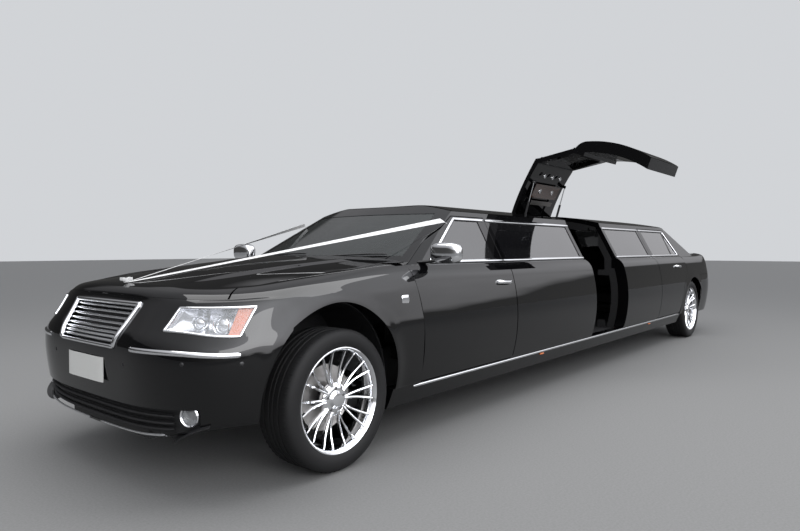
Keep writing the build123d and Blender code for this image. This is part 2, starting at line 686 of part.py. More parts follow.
with BuildPart() as cowl:
    for side in (1, -1):
        outer = side * (BONNET_HALF + GAP)
        add(fixed(block(FRONT_SEAM_X - 260, FRONT_SEAM_X + 300, 0, outer, SHOULDER_Z + 17, SCREEN_HOLE[0][1])))
    add(bonnet_region(2 * GAP), mode=Mode.SUBTRACT)
    add(roof, mode=Mode.SUBTRACT)
keep(cowl, "cowl_panel")

with BuildPart() as fenders:
    for side in (1, -1):
        add(fixed(block(FRONT_SEAM_X - 60, FACE_BACK_X + 100, side * 400, side * FULL, LOW - GAP, BELT_Z + 12)))
    add(bonnet_region(GAP), mode=Mode.SUBTRACT)
    add(lamp_region(0.5), mode=Mode.SUBTRACT)
    add(block(FRONT_AXLE_X + 200, NOSE_X, -FULL, FULL, 0, BUMPER_SEAM_Z), mode=Mode.SUBTRACT)
    add(block(FACE_BACK_X, NOSE_X, -LAMP_INNER_Y, LAMP_INNER_Y, BUMPER_SEAM_Z, ROOF_Z), mode=Mode.SUBTRACT)
    add(cowl, mode=Mode.SUBTRACT)
keep(fenders, "front_fenders")

with BuildPart() as bumper:
    add(panel(block(FRONT_AXLE_X + 200, NOSE_X + 50, -FULL, FULL, 0, BUMPER_SEAM_Z)))
    brow_half = LAMP_INNER_Y - 1
    add(panel(block(FACE_BACK_X, FACE_FRONT_X, -brow_half, brow_half, BUMPER_SEAM_Z, BELT_Z)))
    add(bonnet_region(GAP), mode=Mode.SUBTRACT)
    add(lamp_region(0.5), mode=Mode.SUBTRACT)
    add(face_prism(GRILLE_HOLE, FACE_BACK_X, FACE_FRONT_X), mode=Mode.SUBTRACT)
    add(face_prism(INTAKE_HOLE, FACE_BACK_X, FACE_FRONT_X), mode=Mode.SUBTRACT)
    lip = [(NOSE_X + 60, 290), (NOSE_X - 90, 300), (NOSE_X - 260, 350), (NOSE_X - 700, 350),
           (NOSE_X - 700, 100), (NOSE_X + 60, 100)]
    add(side_prism(lip, -FULL, FULL), mode=Mode.SUBTRACT)
keep(bumper, "front_bumper")

with BuildPart() as headlamps:
    add((lower - lower_wall) & lamp_region(0))
keep(headlamps, "headlamps")

with BuildPart() as rear_bumper:
    add(panel(rear_bumper_region()))
    add(block(TAIL_X - 50, REAR_AXLE_X, -FULL, FULL, 0, 290), mode=Mode.SUBTRACT)
keep(rear_bumper, "rear_bumper")

with BuildPart() as tail_lamps:
    add((lower - lower_wall) & tail_lamp_region(-0.5))
keep(tail_lamps, "tail_lamps")

with BuildPart() as sills:
    for side in (1, -1):
        inner = side * (BODY_HALF - DOOR_WALL - 20)
        add(panel(block(REAR_AXLE_X, FRONT_AXLE_X, inner, side * FULL, 0, LOW - GAP)))
keep(sills, "sills")

print("running gear")
RAIL_Y = 400
RAIL_WIDTH = 110
RAIL_LOW_Z = 195
TUNNEL_HALF = 62
BOOT_FLOOR_Z = 505
SPINDLE_R = 22
BORE_CLEAR = 0.05
RAIL_TOP_Z = FLOOR_TOP_Z - FLOOR_WALL
FLOOR_HALF = BODY_HALF - DOOR_WALL - 1
WELL_HALF = LINER_INNER_Y - 1
WELL_FRONT_X = REAR_AXLE_X + REAR_ARCH_R + LINER + 5
FOOTWELL_X = FRONT_AXLE_X + FRONT_ARCH_SHIFT - FRONT_ARCH_R - LINER - 5
CROSS_MEMBERS = [FOOTWELL_X - 60, B_SEAM_X, B_SEAM_X - 900, JET_FRONT_X + 30, JET_REAR_X - 30, REAR_SEAM_X,
                 WELL_FRONT_X + 60]

with BuildPart() as chassis:
    add(block(WELL_FRONT_X, FOOTWELL_X, -FLOOR_HALF, FLOOR_HALF, RAIL_TOP_Z, FLOOR_TOP_Z))
    add(block(FOOTWELL_X, BULKHEAD_X, -WELL_HALF, WELL_HALF, RAIL_TOP_Z, FLOOR_TOP_Z))
    add(block(TAIL_X + 120, WELL_FRONT_X, -WELL_HALF, WELL_HALF, BOOT_FLOOR_Z, BOOT_FLOOR_Z + 15))
    add(block(WELL_FRONT_X - 20, WELL_FRONT_X, -WELL_HALF, WELL_HALF, RAIL_TOP_Z, BOOT_FLOOR_Z))
    for side in (1, -1):
        add(block(WELL_FRONT_X, FOOTWELL_X, side * RAIL_Y - RAIL_WIDTH / 2, side * RAIL_Y + RAIL_WIDTH / 2,
                  RAIL_LOW_Z, RAIL_TOP_Z))
        add(block(FOOTWELL_X, NOSE_X - 120, side * RAIL_Y - RAIL_WIDTH / 2, side * RAIL_Y + RAIL_WIDTH / 2,
                  RAIL_TOP_Z - 30, FLOOR_TOP_Z))
        add(block(TAIL_X + 120, WELL_FRONT_X, side * RAIL_Y - RAIL_WIDTH / 2, side * RAIL_Y + RAIL_WIDTH / 2,
                  BOOT_FLOOR_Z - 80, BOOT_FLOOR_Z))
        for x in CROSS_MEMBERS:
            add(block(x - 40, x + 40, side * TUNNEL_HALF, side * FLOOR_HALF, RAIL_TOP_Z - 50, RAIL_TOP_Z))
    add(block(NOSE_X - 170, NOSE_X - 110, -RAIL_Y, RAIL_Y, RAIL_TOP_Z - 60, FLOOR_TOP_Z))
    add(block(TAIL_X + 110, TAIL_X + 170, -RAIL_Y, RAIL_Y, BOOT_FLOOR_Z - 80, BOOT_FLOOR_Z))
keep(chassis, "chassis")

with BuildPart() as bulkheads:
    top_z = SHOULDER_Z + 30
    add(block(BULKHEAD_X, BULKHEAD_X + BULKHEAD_WALL, -WELL_HALF, WELL_HALF, FLOOR_TOP_Z, top_z))
    add(block(BOOT_WALL_X - BULKHEAD_WALL, BOOT_WALL_X, -WELL_HALF, WELL_HALF, BOOT_FLOOR_Z + 15, top_z))
keep(bulkheads, "bulkheads")

with BuildPart() as liners:
    for x, z, radius in ARCHES:
        for side in (1, -1):
            outer = side * (BODY_HALF - 110)
            tub = y_cylinder(x, z, radius + LINER - SEAT, side * (LINER_INNER_Y + 1), outer)
            hollow = y_cylinder(x, z, radius - SEAT, side * (LINER_INNER_Y + LINER), side * BODY_HALF)
            below = block(x - 600, x + 600, -FULL, FULL, -200, z - 60)
            inboard = block(x - 300, x + 300, side * LINER_INNER_Y, side * (LINER_INNER_Y + LINER + 1), -200,
                            z + 130)
            add(tub - hollow - below - inboard)
keep(liners, "wheelhouse_liners")

with BuildPart() as engine:
    add(block(FRONT_AXLE_X - 300, FRONT_AXLE_X + 330, -300, 300, 301, 860))
    add(block(FRONT_AXLE_X - 560, FRONT_AXLE_X - 240, -TUNNEL_HALF + 5, TUNNEL_HALF - 5, 222, 304))
keep(engine, "engine_block")

ARM_Z = AXLE_Z - 90
ARM_THICK = 36
KNUCKLE_Y = WHEEL_Y - KINGPIN_OFFSET
with BuildPart() as subframe:
    add(block(FRONT_AXLE_X - 230, FRONT_AXLE_X + 230, -400, 400, 230, RAIL_TOP_Z - 30))
    for side in (1, -1):
        with BuildSketch(Plane.XY.offset(ARM_Z - ARM_THICK)):
            with BuildLine():
                Polyline((FRONT_AXLE_X - 190, side * 320), (FRONT_AXLE_X - 25, side * (KNUCKLE_Y + 10)),
                         (FRONT_AXLE_X + 25, side * (KNUCKLE_Y + 10)), (FRONT_AXLE_X + 190, side * 320),
                         (FRONT_AXLE_X + 130, side * 320), (FRONT_AXLE_X, side * 600),
                         (FRONT_AXLE_X - 130, side * 320), close=True)
            make_face()
        extrude(amount=ARM_THICK)
keep(subframe, "front_subframe")

for side, hand in ((1, "left"), (-1, "right")):
    with BuildPart() as knuckle:
        inner = side * (KNUCKLE_Y - 18)
        outer = side * (KNUCKLE_Y + 12)
        add(block(FRONT_AXLE_X - 35, FRONT_AXLE_X + 35, inner, outer, ARM_Z + SEAT, AXLE_Z + 120))
        add(y_cylinder(FRONT_AXLE_X, AXLE_Z, SPINDLE_R, side * KNUCKLE_Y, side * (WHEEL_Y + 60)))
        add(block(FRONT_AXLE_X - 120, FRONT_AXLE_X - 35, inner, outer, AXLE_Z - 60, AXLE_Z - 30))
    keep(knuckle, "knuckle_" + hand)

with BuildPart() as rear_axle:
    for side in (1, -1):
        add(block(REAR_AXLE_X - 180, REAR_AXLE_X + 180, side * TUNNEL_HALF, side * 330, 262, 300))
    with BuildSketch(Plane.XZ.offset(-150)):
        with Locations((REAR_AXLE_X, AXLE_Z)):
            Circle(105)
    extrude(amount=300)
    add(block(REAR_AXLE_X + 60, REAR_AXLE_X + 185, -50, 50, 226, AXLE_Z))
    for side in (1, -1):
        add(y_cylinder(REAR_AXLE_X, AXLE_Z, 30, side * 140, side * (WHEEL_Y - 60)))
        add(y_cylinder(REAR_AXLE_X, AXLE_Z, 75, side * (WHEEL_Y - 120), side * (WHEEL_Y - 60)))
        add(y_cylinder(REAR_AXLE_X, AXLE_Z, SPINDLE_R, side * (WHEEL_Y - 61), side * (WHEEL_Y + 60)))
        add(block(REAR_AXLE_X - 50, REAR_AXLE_X + 50, side * 300, side * (WHEEL_Y - 70), 262, 300))
keep(rear_axle, "rear_axle")

SHAFT_Z = 262
with BuildPart() as prop_shaft:
    with BuildSketch(Plane.YZ.offset(REAR_AXLE_X + 185)):
        with Locations((0, SHAFT_Z)):
            Circle(36)
    extrude(amount=FRONT_AXLE_X - 560 - (REAR_AXLE_X + 185))
    for x in (B_SEAM_X - 300, JET_REAR_X - 100):
        add(block(x - 25, x + 25, -TUNNEL_HALF + 5, TUNNEL_HALF - 5, 215, RAIL_TOP_Z))
keep(prop_shaft, "prop_shaft")

PIPE_Z = 222
PIPE_R = 26
PIPE_Y = 230
with BuildPart() as exhaust:
    for side in (1, -1):
        with BuildSketch(Plane.YZ.offset(TAIL_X + 10)):
            with Locations((side * PIPE_Y, PIPE_Z)):
                Circle(PIPE_R)
        extrude(amount=FRONT_AXLE_X - 250 - (TAIL_X + 10))
        add(block(FRONT_AXLE_X - 295, FRONT_AXLE_X - 245, side * PIPE_Y - PIPE_R, side * PIPE_Y + PIPE_R, PIPE_Z,
                  301))
        add(block(TAIL_X + 150, TAIL_X + 650, side * PIPE_Y - 110, side * PIPE_Y + 110, 190, 334))
        for x in (TAIL_X + 250, TAIL_X + 550):
            add(block(x - 10, x + 10, side * 340, side * 360, 300, BOOT_FLOOR_Z - 80))
            add(block(x - 10, x + 10, side * 330, side * 345, 300, 320))
keep(exhaust, "exhaust")


def wheel_solid(x, side):
    """A spoked rim: barrel, hub and a ring of paired spokes, facing outward."""
    y_out = side * (WHEEL_Y + RIM_WIDTH / 2)
    y_in = side * (WHEEL_Y - RIM_WIDTH / 2)
    bowl = y_cylinder(x, AXLE_Z, RIM_R - 16, y_in - side, y_out + side)
    barrel = y_cylinder(x, AXLE_Z, RIM_R, y_in, y_out) - bowl
    hub = y_cylinder(x, AXLE_Z, 85, side * (WHEEL_Y + 25), side * (WHEEL_Y + 85))
    bore = y_cylinder(x, AXLE_Z, SPINDLE_R + BORE_CLEAR, side * (WHEEL_Y + 20), side * (WHEEL_Y + 65))
    rim = barrel + hub - bore
    for index in range(SPOKES):
        for split in (-7, 7):
            angle = 360 / SPOKES * index + split
            spoke = block(x + 60, x + RIM_R - 8, side * (WHEEL_Y + 60), side * (WHEEL_Y + 85), AXLE_Z - 9,
                          AXLE_Z + 9)
            rim = rim + spoke.rotate(Axis((x, 0, AXLE_Z), (0, 1, 0)), angle)
    return rim


def tyre_solid(x, side):
    """A low-profile tyre as a turned ring of cones: bead, bulging walls and flat tread."""
    half = TYRE_WIDTH / 2
    wall = [(RIM_R + SEAT, RIM_WIDTH / 2), (RIM_R + 44, half), (TYRE_R, half - 22)]
    with BuildPart(mode=Mode.PRIVATE) as ring:
        with BuildSketch(Plane.XY):
            with BuildLine():
                Polyline(*wall, *[(r, -y) for r, y in reversed(wall)], close=True)
            make_face()
        revolve(axis=Axis.Y)
    return Pos(x, side * WHEEL_Y, AXLE_Z) * ring.part


for x, end in ((FRONT_AXLE_X, "front"), (REAR_AXLE_X, "rear")):
    for side, hand in ((1, "left"), (-1, "right")):
        with BuildPart() as rim:
            add(wheel_solid(x, side))
        keep(rim, "rim_" + end + "_" + hand)
        with BuildPart() as tyre:
            add(tyre_solid(x, side))
        keep(tyre, "tyre_" + end + "_" + hand)

print("grille, lamps and small pieces")
GRILLE_BARS = 7
GRILLE_FRAME = 20
GRILLE_BAR = 10
(grille_low_half, grille_low_z), (grille_top_half, grille_top_z) = GRILLE_HOLE
with BuildPart() as grille:
    skin = lower - lower_skin
    seated = [(grille_low_half - SEAT, grille_low_z + SEAT), (grille_top_half - SEAT, grille_top_z - SEAT)]
    opening = [(grille_low_half - 1.5 * GRILLE_FRAME, grille_low_z + GRILLE_FRAME),
               (grille_top_half - 1.7 * GRILLE_FRAME, grille_top_z - GRILLE_FRAME)]
    frame = face_prism(seated, FACE_BACK_X, FACE_FRONT_X) - face_prism(opening, FACE_BACK_X, FACE_FRONT_X)
    add(skin & frame)
    pitch = (opening[1][1] - opening[0][1]) / GRILLE_BARS
    for index in range(GRILLE_BARS):
        z = opening[0][1] + (index + 0.5) * pitch
        half = grille_low_half - GRILLE_FRAME + index * GRILLE_BAR / 2
        add(skin & block(FACE_BACK_X, FACE_FRONT_X, -half, half, z - GRILLE_BAR / 2, z + GRILLE_BAR / 2))
keep(grille, "grille")

MIRROR_X = FRONT_AXLE_X - 815
MIRROR_Z = BELT_Z + 68
MIRROR_LENGTH = 211
MIRROR_HALF = BODY_HALF - 71
for side, hand in ((1, "left"), (-1, "right")):
    with BuildPart() as mirror_shell:
        with BuildSketch(Plane.XZ.offset(-side * MIRROR_HALF)):
            with Locations((MIRROR_X, MIRROR_Z)):
                RectangleRounded(100, 128, 45)
        extrude(amount=-side * MIRROR_LENGTH)
        outer_face = mirror_shell.faces().sort_by(Axis.Y)[-1 if side == 1 else 0]
        chamfer(outer_face.edges(), 18)
        foot = (side * (MIRROR_HALF - 104), side * (MIRROR_HALF + 60))
        add(block(MIRROR_X - 55, MIRROR_X + 55, *foot, BELT_Z + 4, BELT_Z + 20))
        add(upper, mode=Mode.SUBTRACT)
    keep(mirror_shell, "mirror_" + hand)

CABIN_HALF = SILL_HALF - DOOR_WALL - 8
WHEEL_TILT = radians(25)
DRIVER_Y = -(BODY_HALF - 565)
column_dir = (-cos(WHEEL_TILT), 0, sin(WHEEL_TILT))
with BuildPart() as dashboard:
    add(block(BULKHEAD_X - 400, BULKHEAD_X, -CABIN_HALF + 40, CABIN_HALF - 40, 702, 930))
    column = Plane(origin=(BULKHEAD_X - 350, DRIVER_Y, 815), z_dir=column_dir)
    with BuildSketch(column):
        Circle(32)
    extrude(amount=200)
keep(dashboard, "dashboard")
with BuildPart() as steering_wheel:
    with BuildSketch(column.offset(200 + SEAT)):
        Circle(190)
        Circle(165, mode=Mode.SUBTRACT)
        Rectangle(350, 36)
        Circle(65)
    extrude(amount=26)
keep(steering_wheel, "steering_wheel")

with BuildPart() as front_seats:
    for y in (DRIVER_Y, -DRIVER_Y):
        add(block(B_SEAM_X + 80, B_SEAM_X + 580, y - 260, y + 260, FLOOR_TOP_Z, 600))
        add(block(B_SEAM_X - 50, B_SEAM_X + 100, y - 260, y + 260, FLOOR_TOP_Z + 60, 1180))
keep(front_seats, "front_seats")
with BuildPart() as partition:
    add(block(B_SEAM_X - 190, B_SEAM_X - 150, -CABIN_HALF + 30, CABIN_HALF - 30, FLOOR_TOP_Z, 1000))
keep(partition, "partition")
with BuildPart() as lounge:
    add(block(WELL_FRONT_X + 5, WELL_FRONT_X + 520, -590, 590, FLOOR_TOP_Z, 600))
    add(block(WELL_FRONT_X - 120, WELL_FRONT_X + 10, -455, 455, BOOT_FLOOR_Z + 15, 1180))
    add(block(WELL_FRONT_X + 520, B_SEAM_X - 600, -CABIN_HALF, -350, FLOOR_TOP_Z, 600))
keep(lounge, "lounge_seat")
with BuildPart() as bar:
    add(block(JET_FRONT_X + 150, B_SEAM_X - 400, 420, CABIN_HALF, FLOOR_TOP_Z, 800))
keep(bar, "bar_cabinet")

print("roof-hinged door gear")
FRAME_DEPTH = 75
FRAME_WIDTH = 40
FRAME_KNEE_Z = 1330
FRAME_FOOT_Y = 640
frame_inner_low = lower_body(DOOR_WALL + FRAME_DEPTH)
frame_inner_top = greenhouse(DOOR_WALL / 2 + FRAME_DEPTH, ROOF_WALL + FRAME_DEPTH)
with BuildPart() as doorway_frame:
    for edge_x, out in ((JET_FRONT_X, 1), (JET_REAR_X, -1)):
        x0 = edge_x + out * 8
        x1 = x0 + out * FRAME_WIDTH
        hoop = cabin_void.part - frame_inner_low - frame_inner_top
        add(hoop & block(x0, x1, 20, FULL, FRAME_KNEE_Z, ROOF_Z))
        add(hoop & block(x0, x1, FRAME_FOOT_Y, FULL, FLOOR_TOP_Z, FRAME_KNEE_Z))
    add(block(JET_REAR_X - 9, JET_FRONT_X + 9, 22, 62, ROOF_Z - ROOF_WALL - 45, ROOF_Z - ROOF_WALL - 2))
    for x, out in ((STRUT_XS[0], 1), (STRUT_XS[1], -1)):
        with BuildSketch(Plane.YZ.offset(x - out * 8)):
            with Locations(STRUT_FOOT):
                Circle(STRUT_PIN_R)
        extrude(amount=out * 70)
keep(doorway_frame, "doorway_frame")

with BuildPart() as strut_tubes:
    for x in STRUT_XS:
        with BuildSketch(Plane.YZ.offset(x - 7)):
            with Locations(STRUT_FOOT):
                Circle(STRUT_TUBE_R)
        extrude(amount=14)
        with BuildSketch(Plane(origin=(x, *STRUT_FOOT), z_dir=strut_dir).offset(8)):
            Circle(STRUT_TUBE_R)
        extrude(amount=STRUT_SHUT - 8 - 25)
        with BuildSketch(Plane.YZ.offset(x - 20)):
            with Locations(STRUT_FOOT):
                Circle(STRUT_PIN_R + BORE_CLEAR)
        extrude(amount=40, mode=Mode.SUBTRACT)
        with BuildSketch(Plane(origin=(x, *STRUT_FOOT), z_dir=strut_dir).offset(25)):
            Circle(STRUT_ROD_R + BORE_CLEAR)
        extrude(amount=STRUT_SHUT, mode=Mode.SUBTRACT)
keep(strut_tubes, "strut_tubes")
with BuildPart() as strut_rods:
    for x in STRUT_XS:
        rod_foot = 27 + STRUT_OPEN - STRUT_SHUT
        with BuildSketch(Plane(origin=(x, *STRUT_FOOT), z_dir=strut_dir).offset(rod_foot)):
            Circle(STRUT_ROD_R)
        extrude(amount=STRUT_SHUT - 27)
        with BuildSketch(Plane.YZ.offset(x - 7)):
            with Locations(STRUT_EYE):
                Circle(STRUT_TUBE_R)
        extrude(amount=14)
keep(strut_rods, "strut_rods")
print(len(everything), "nodes")
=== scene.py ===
# %% [markdown]
# A long, gloss-black limousine with a door that lifts along the roof. The solid model comes first,
# as a fixed frame; every surface made here is laid over it or takes the place of one of its pieces,
# and rides on the same body, so it moves as the real panel does.

# %% Load the solid model
import json
import math
import bmesh
import bpy
import numpy as np
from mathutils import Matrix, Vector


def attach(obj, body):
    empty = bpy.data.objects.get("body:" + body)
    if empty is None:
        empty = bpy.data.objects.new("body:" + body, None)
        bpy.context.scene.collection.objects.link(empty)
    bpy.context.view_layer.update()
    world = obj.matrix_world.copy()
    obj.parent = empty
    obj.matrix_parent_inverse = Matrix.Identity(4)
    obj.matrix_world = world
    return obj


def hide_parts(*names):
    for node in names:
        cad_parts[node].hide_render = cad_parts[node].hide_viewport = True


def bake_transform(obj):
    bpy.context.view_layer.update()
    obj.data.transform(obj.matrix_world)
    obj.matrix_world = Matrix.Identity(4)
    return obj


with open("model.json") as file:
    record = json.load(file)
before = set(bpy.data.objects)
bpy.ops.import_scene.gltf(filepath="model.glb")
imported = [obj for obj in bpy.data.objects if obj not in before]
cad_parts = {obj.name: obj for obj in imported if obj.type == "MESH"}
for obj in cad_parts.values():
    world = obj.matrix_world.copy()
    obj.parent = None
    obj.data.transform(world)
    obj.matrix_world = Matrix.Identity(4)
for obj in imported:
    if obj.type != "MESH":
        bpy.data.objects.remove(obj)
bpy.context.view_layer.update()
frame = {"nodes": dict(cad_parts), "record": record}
NODES = frame["nodes"]


# %% [markdown]
# The camera stands at the photograph's viewpoint, by the left front corner at eye height. Its place,
# its turn and its lens were found by matching the wheels, the seams and the roof line of the car.

# %% Camera
FRONT_AXLE = 3.3095
REAR_AXLE = -3.0445
CAMERA_PLACE = (FRONT_AXLE + 2.2466, 3.1650, 1.1374)
CAMERA_YAW = math.radians(-140.367)
CAMERA_PITCH = math.radians(-1.536)
LENS_MM = 28.125
SENSOR_MM = 36.0
FAR_END = 200

camera_data = bpy.data.cameras.new("camera")
camera_data.lens = LENS_MM
camera_data.sensor_width = SENSOR_MM
camera_data.clip_end = FAR_END
camera = bpy.data.objects.new("camera", camera_data)
camera.location = CAMERA_PLACE
camera.rotation_euler = (math.pi / 2 + CAMERA_PITCH, 0, CAMERA_YAW - math.pi / 2)
bpy.context.scene.collection.objects.link(camera)
bpy.context.scene.camera = camera
print("camera at", CAMERA_PLACE)

# %% [markdown]
# A plain floor and a pale surround show a black car by what it reflects: lacquer this dark has hardly
# any colour of its own. Two broad lamps, one overhead and one at the left front, draw the long
# highlights along the bonnet and the roof. Small lamps would show as hard spots instead.

# %% Floor and light
GROUND_HALF, GROUND_Z = 60, -0.0005

scene = bpy.context.scene
scene.view_settings.view_transform = "Standard"
ground_corners = [(x * GROUND_HALF, y * GROUND_HALF, GROUND_Z)
                  for x, y in ((-1, -1), (1, -1), (1, 1), (-1, 1))]
ground_mesh = bpy.data.meshes.new("floor")
ground_mesh.from_pydata(ground_corners, [], [(0, 1, 2, 3)])
floor = bpy.data.objects.new("floor", ground_mesh)
scene.collection.objects.link(floor)


def lamp(name, place, target, size, power):
    """A rectangular lamp at a place, turned until its -Z axis runs along (target - place)."""
    data = bpy.data.lights.new(name, "AREA")
    data.shape = "RECTANGLE"
    data.size, data.size_y = size
    data.energy = power
    made = bpy.data.objects.new(name, data)
    made.rotation_euler = (Vector(target) - Vector(place)).to_track_quat("-Z", "Y").to_euler()
    made.location = place
    scene.collection.objects.link(made)


lamp("overhead", place=(1.5, 1.0, 6.5), target=(0.5, 0, 0), size=(11, 4.5), power=420)
lamp("side", place=(6.0, 7.5, 4.0), target=(1.0, 0.5, 0.7), size=(7, 3), power=260)
print("a floor of", 2 * GROUND_HALF, "m and two lamps set")

# %% [markdown]
# Every finish is built from nodes. A small class wraps a socket so that patterns read as sums and
# products, and one method adds any other node.

# %% Writing shaders as sums


class Value:
    """A number socket; adding to it or multiplying it adds a Math node."""

    def __init__(self, nodes, socket):
        self.nodes = nodes
        self.socket = socket

    def _with(self, other, operation):
        return self.nodes.node("ShaderNodeMath", {"operation": operation}, {0: self, 1: other})

    def __add__(self, other):
        return self._with(other, "ADD")

    def __mul__(self, other):
        return self._with(other, "MULTIPLY")

    __radd__ = __add__
    __rmul__ = __mul__


class Nodes:
    """A node tree to which any node can be added in one call."""

    def __init__(self, tree):
        self.tree = tree

    def node(self, kind, settings=None, inputs=None, output=0):
        """Any node: settings first, then the values or links of its sockets."""
        made = self.tree.nodes.new(kind)
        for key, value in (settings or {}).items():
            if key == "stops":
                ramp = made.color_ramp
                while len(ramp.elements) < len(value):
                    ramp.elements.new(0.5)
                for element, (at, colour) in zip(ramp.elements, value):
                    element.position = at
                    element.color = colour
            else:
                setattr(made, key, value)
        for key, value in (inputs or {}).items():
            if isinstance(value, Value):
                self.tree.links.new(value.socket, made.inputs[key])
            else:
                made.inputs[key].default_value = value
        return Value(self, made.outputs[output])


print("sums and products of sockets ready")

# %% [markdown]
# A finish is the Principled shader with a few numbers set and a pattern or two fed in. Patterns read
# Object coordinates, which are metres in the car's own frame, so a grain keeps its real size on every
# piece, however large the piece is.

# %% A finish


class Paint(Nodes):
    """A material whose Principled shader is filled in from numbers and patterns."""

    def __init__(self, name, **constants):
        self.material = bpy.data.materials.new(name)
        self.material.use_nodes = True
        super().__init__(self.material.node_tree)
        self.shader = self.tree.nodes["Principled BSDF"]
        for key, value in constants.items():
            self.shader.inputs[key.replace("_", " ")].default_value = value

    def place(self):
        """Object coordinates: metres in the car's own frame."""
        return self.node("ShaderNodeTexCoord", output=3)

    def noise(self, scale, detail=2.0):
        """Smooth random values, about `scale` of them to a metre."""
        return self.node("ShaderNodeTexNoise", None,
                         {"Vector": self.place(), "Scale": scale, "Detail": detail})

    def blend(self, factor, low, high):
        """The colour low + factor (high - low)."""
        return self.node("ShaderNodeMix", {"data_type": "RGBA"}, {0: factor, 6: low, 7: high}, 2)

    def bump(self, height, strength, distance):
        """Tilts the normal as if the surface rose by distance times height."""
        self.feed("Normal", self.node("ShaderNodeBump", None,
                                      {"Height": height, "Strength": strength, "Distance": distance}))

    def feed(self, name, value):
        """Links a value to one of the shader's sockets."""
        self.tree.links.new(value.socket, self.shader.inputs[name])


print("finishes can be mixed")

# %% [markdown]
# Car lacquer is a nearly black colour under a clear coat, and the coat alone makes the gloss. So the
# colour layer has no shine of its own here, and the coat is smooth. Chrome is a bright metal; a
# little slow noise in its roughness keeps long strips from looking like one flat mirror.

# %% Lacquer and chrome
lacquer = Paint("black lacquer", Base_Color=(0.0025, 0.0025, 0.003, 1), Roughness=0.3,
                Specular_IOR_Level=0.0, Coat_Weight=1.0, Coat_Roughness=0.02, Coat_IOR=1.5)
lacquer.feed("Roughness", 0.25 + 0.1 * lacquer.noise(3.0))

chrome = Paint("bright chrome", Base_Color=(0.83, 0.84, 0.86, 1), Metallic=1.0, Roughness=0.05)
chrome.feed("Roughness", 0.03 + 0.05 * chrome.noise(9.0))
print(lacquer.material.name, "and", chrome.material.name, "mixed")

# %% [markdown]
# Glass could be refracting, but a pane is thin and the cabin behind it is dark, so a smooth dark
# surface with an alpha below 1 looks the same and renders faster. The side panes are tinted almost
# black, the windscreen lets more through, and the lamp glass hardly shows at all.

# %% Glass and lamps
tint = Paint("tinted glass", Base_Color=(0.006, 0.006, 0.007, 1), Roughness=0.02, Coat_Weight=1.0,
             Alpha=0.93)
clear = Paint("windscreen glass", Base_Color=(0.03, 0.035, 0.035, 1), Roughness=0.02, Coat_Weight=0.6,
              Alpha=0.62)
lens = Paint("lamp glass", Base_Color=(0.9, 0.92, 0.95, 1), Roughness=0.02, Alpha=0.18, Coat_Weight=0.5)
red = Paint("red lens", Base_Color=(0.22, 0.004, 0.004, 1), Roughness=0.08, Coat_Weight=0.8)
reflector = Paint("lamp reflector", Base_Color=(0.62, 0.63, 0.66, 1), Metallic=1.0, Roughness=0.16)
reflector.feed("Roughness", 0.12 + 0.08 * reflector.noise(30.0))
amber = Paint("amber reflector", Base_Color=(0.75, 0.16, 0.01, 1), Roughness=0.12, Coat_Weight=0.8)
print("opaque share of side pane, windscreen and lamp:",
      [round(glass.shader.inputs["Alpha"].default_value, 2) for glass in (tint, clear, lens)])

# %% [markdown]
# Moulded plastic, cast metal and tyre rubber are told apart by their grain as much as by colour. The
# grain is far too fine to be geometry, so noise tilts the normals by fractions of a millimetre.

# %% Plastic, metal and rubber
PLASTIC_GRAIN = 420.0
black_plastic = Paint("black plastic", Base_Color=(0.012, 0.012, 0.013, 1), Roughness=0.5)
black_plastic.bump(black_plastic.noise(PLASTIC_GRAIN), 0.25, 0.0004)

underbody = Paint("underbody paint", Base_Color=(0.01, 0.01, 0.011, 1), Roughness=0.55)
underbody.bump(underbody.noise(60.0), 0.3, 0.002)

casting = Paint("cast metal", Base_Color=(0.12, 0.12, 0.125, 1), Metallic=0.8, Roughness=0.55)
casting.bump(casting.noise(150.0), 0.4, 0.001)

steel = Paint("dull steel", Base_Color=(0.30, 0.29, 0.28, 1), Metallic=1.0, Roughness=0.35)
steel.feed("Roughness", 0.28 + 0.2 * steel.noise(20.0))

rubber = Paint("tyre rubber", Base_Color=(0.007, 0.007, 0.0075, 1), Roughness=0.7, Specular_IOR_Level=0.3)
rubber.bump(rubber.noise(300.0), 0.2, 0.0005)
print("the plastic's grain is", round(1000 / PLASTIC_GRAIN, 1), "mm wide")

# %% [markdown]
# Leather's creases run between small cells, which is what a Voronoi pattern's distance to its edges
# gives. The cabin's panels are a brown gloss, the ribbon is satin, and the floor a plain mottled grey.

# %% Leather, gloss, cloth and floor
leather = Paint("black leather", Base_Color=(0.018, 0.017, 0.017, 1), Roughness=0.42)
grain = leather.node("ShaderNodeTexVoronoi", {"feature": "DISTANCE_TO_EDGE"},
                     {"Vector": leather.place(), "Scale": 260.0})
leather.bump(grain, 0.35, 0.0006)

wood = Paint("brown piano gloss", Base_Color=(0.05, 0.018, 0.008, 1), Roughness=0.15, Coat_Weight=1.0)

plate_white = Paint("blank plate", Base_Color=(0.72, 0.72, 0.70, 1), Roughness=0.35)
plate_white.feed("Roughness", 0.3 + 0.15 * plate_white.noise(20.0))
ribbon = Paint("satin ribbon", Base_Color=(0.80, 0.80, 0.80, 1), Roughness=0.38)
ribbon.feed("Base Color", ribbon.blend(ribbon.noise(60.0), (0.74, 0.74, 0.75, 1), (0.86, 0.86, 0.86, 1)))
floor_paint = Paint("floor", Base_Color=(0.21, 0.21, 0.21, 1), Roughness=0.85)
floor_paint.feed("Base Color", floor_paint.blend(floor_paint.noise(90.0, 3.0), (0.17, 0.17, 0.17, 1),
                                                 (0.25, 0.25, 0.25, 1)))
floor.data.materials.append(floor_paint.material)
print(len(bpy.data.materials), "materials so far")

# %% [markdown]
# Each solid names the slot of its finish in the part's record. One table turns slots into finishes,
# so no solid keeps a plain grey surface.

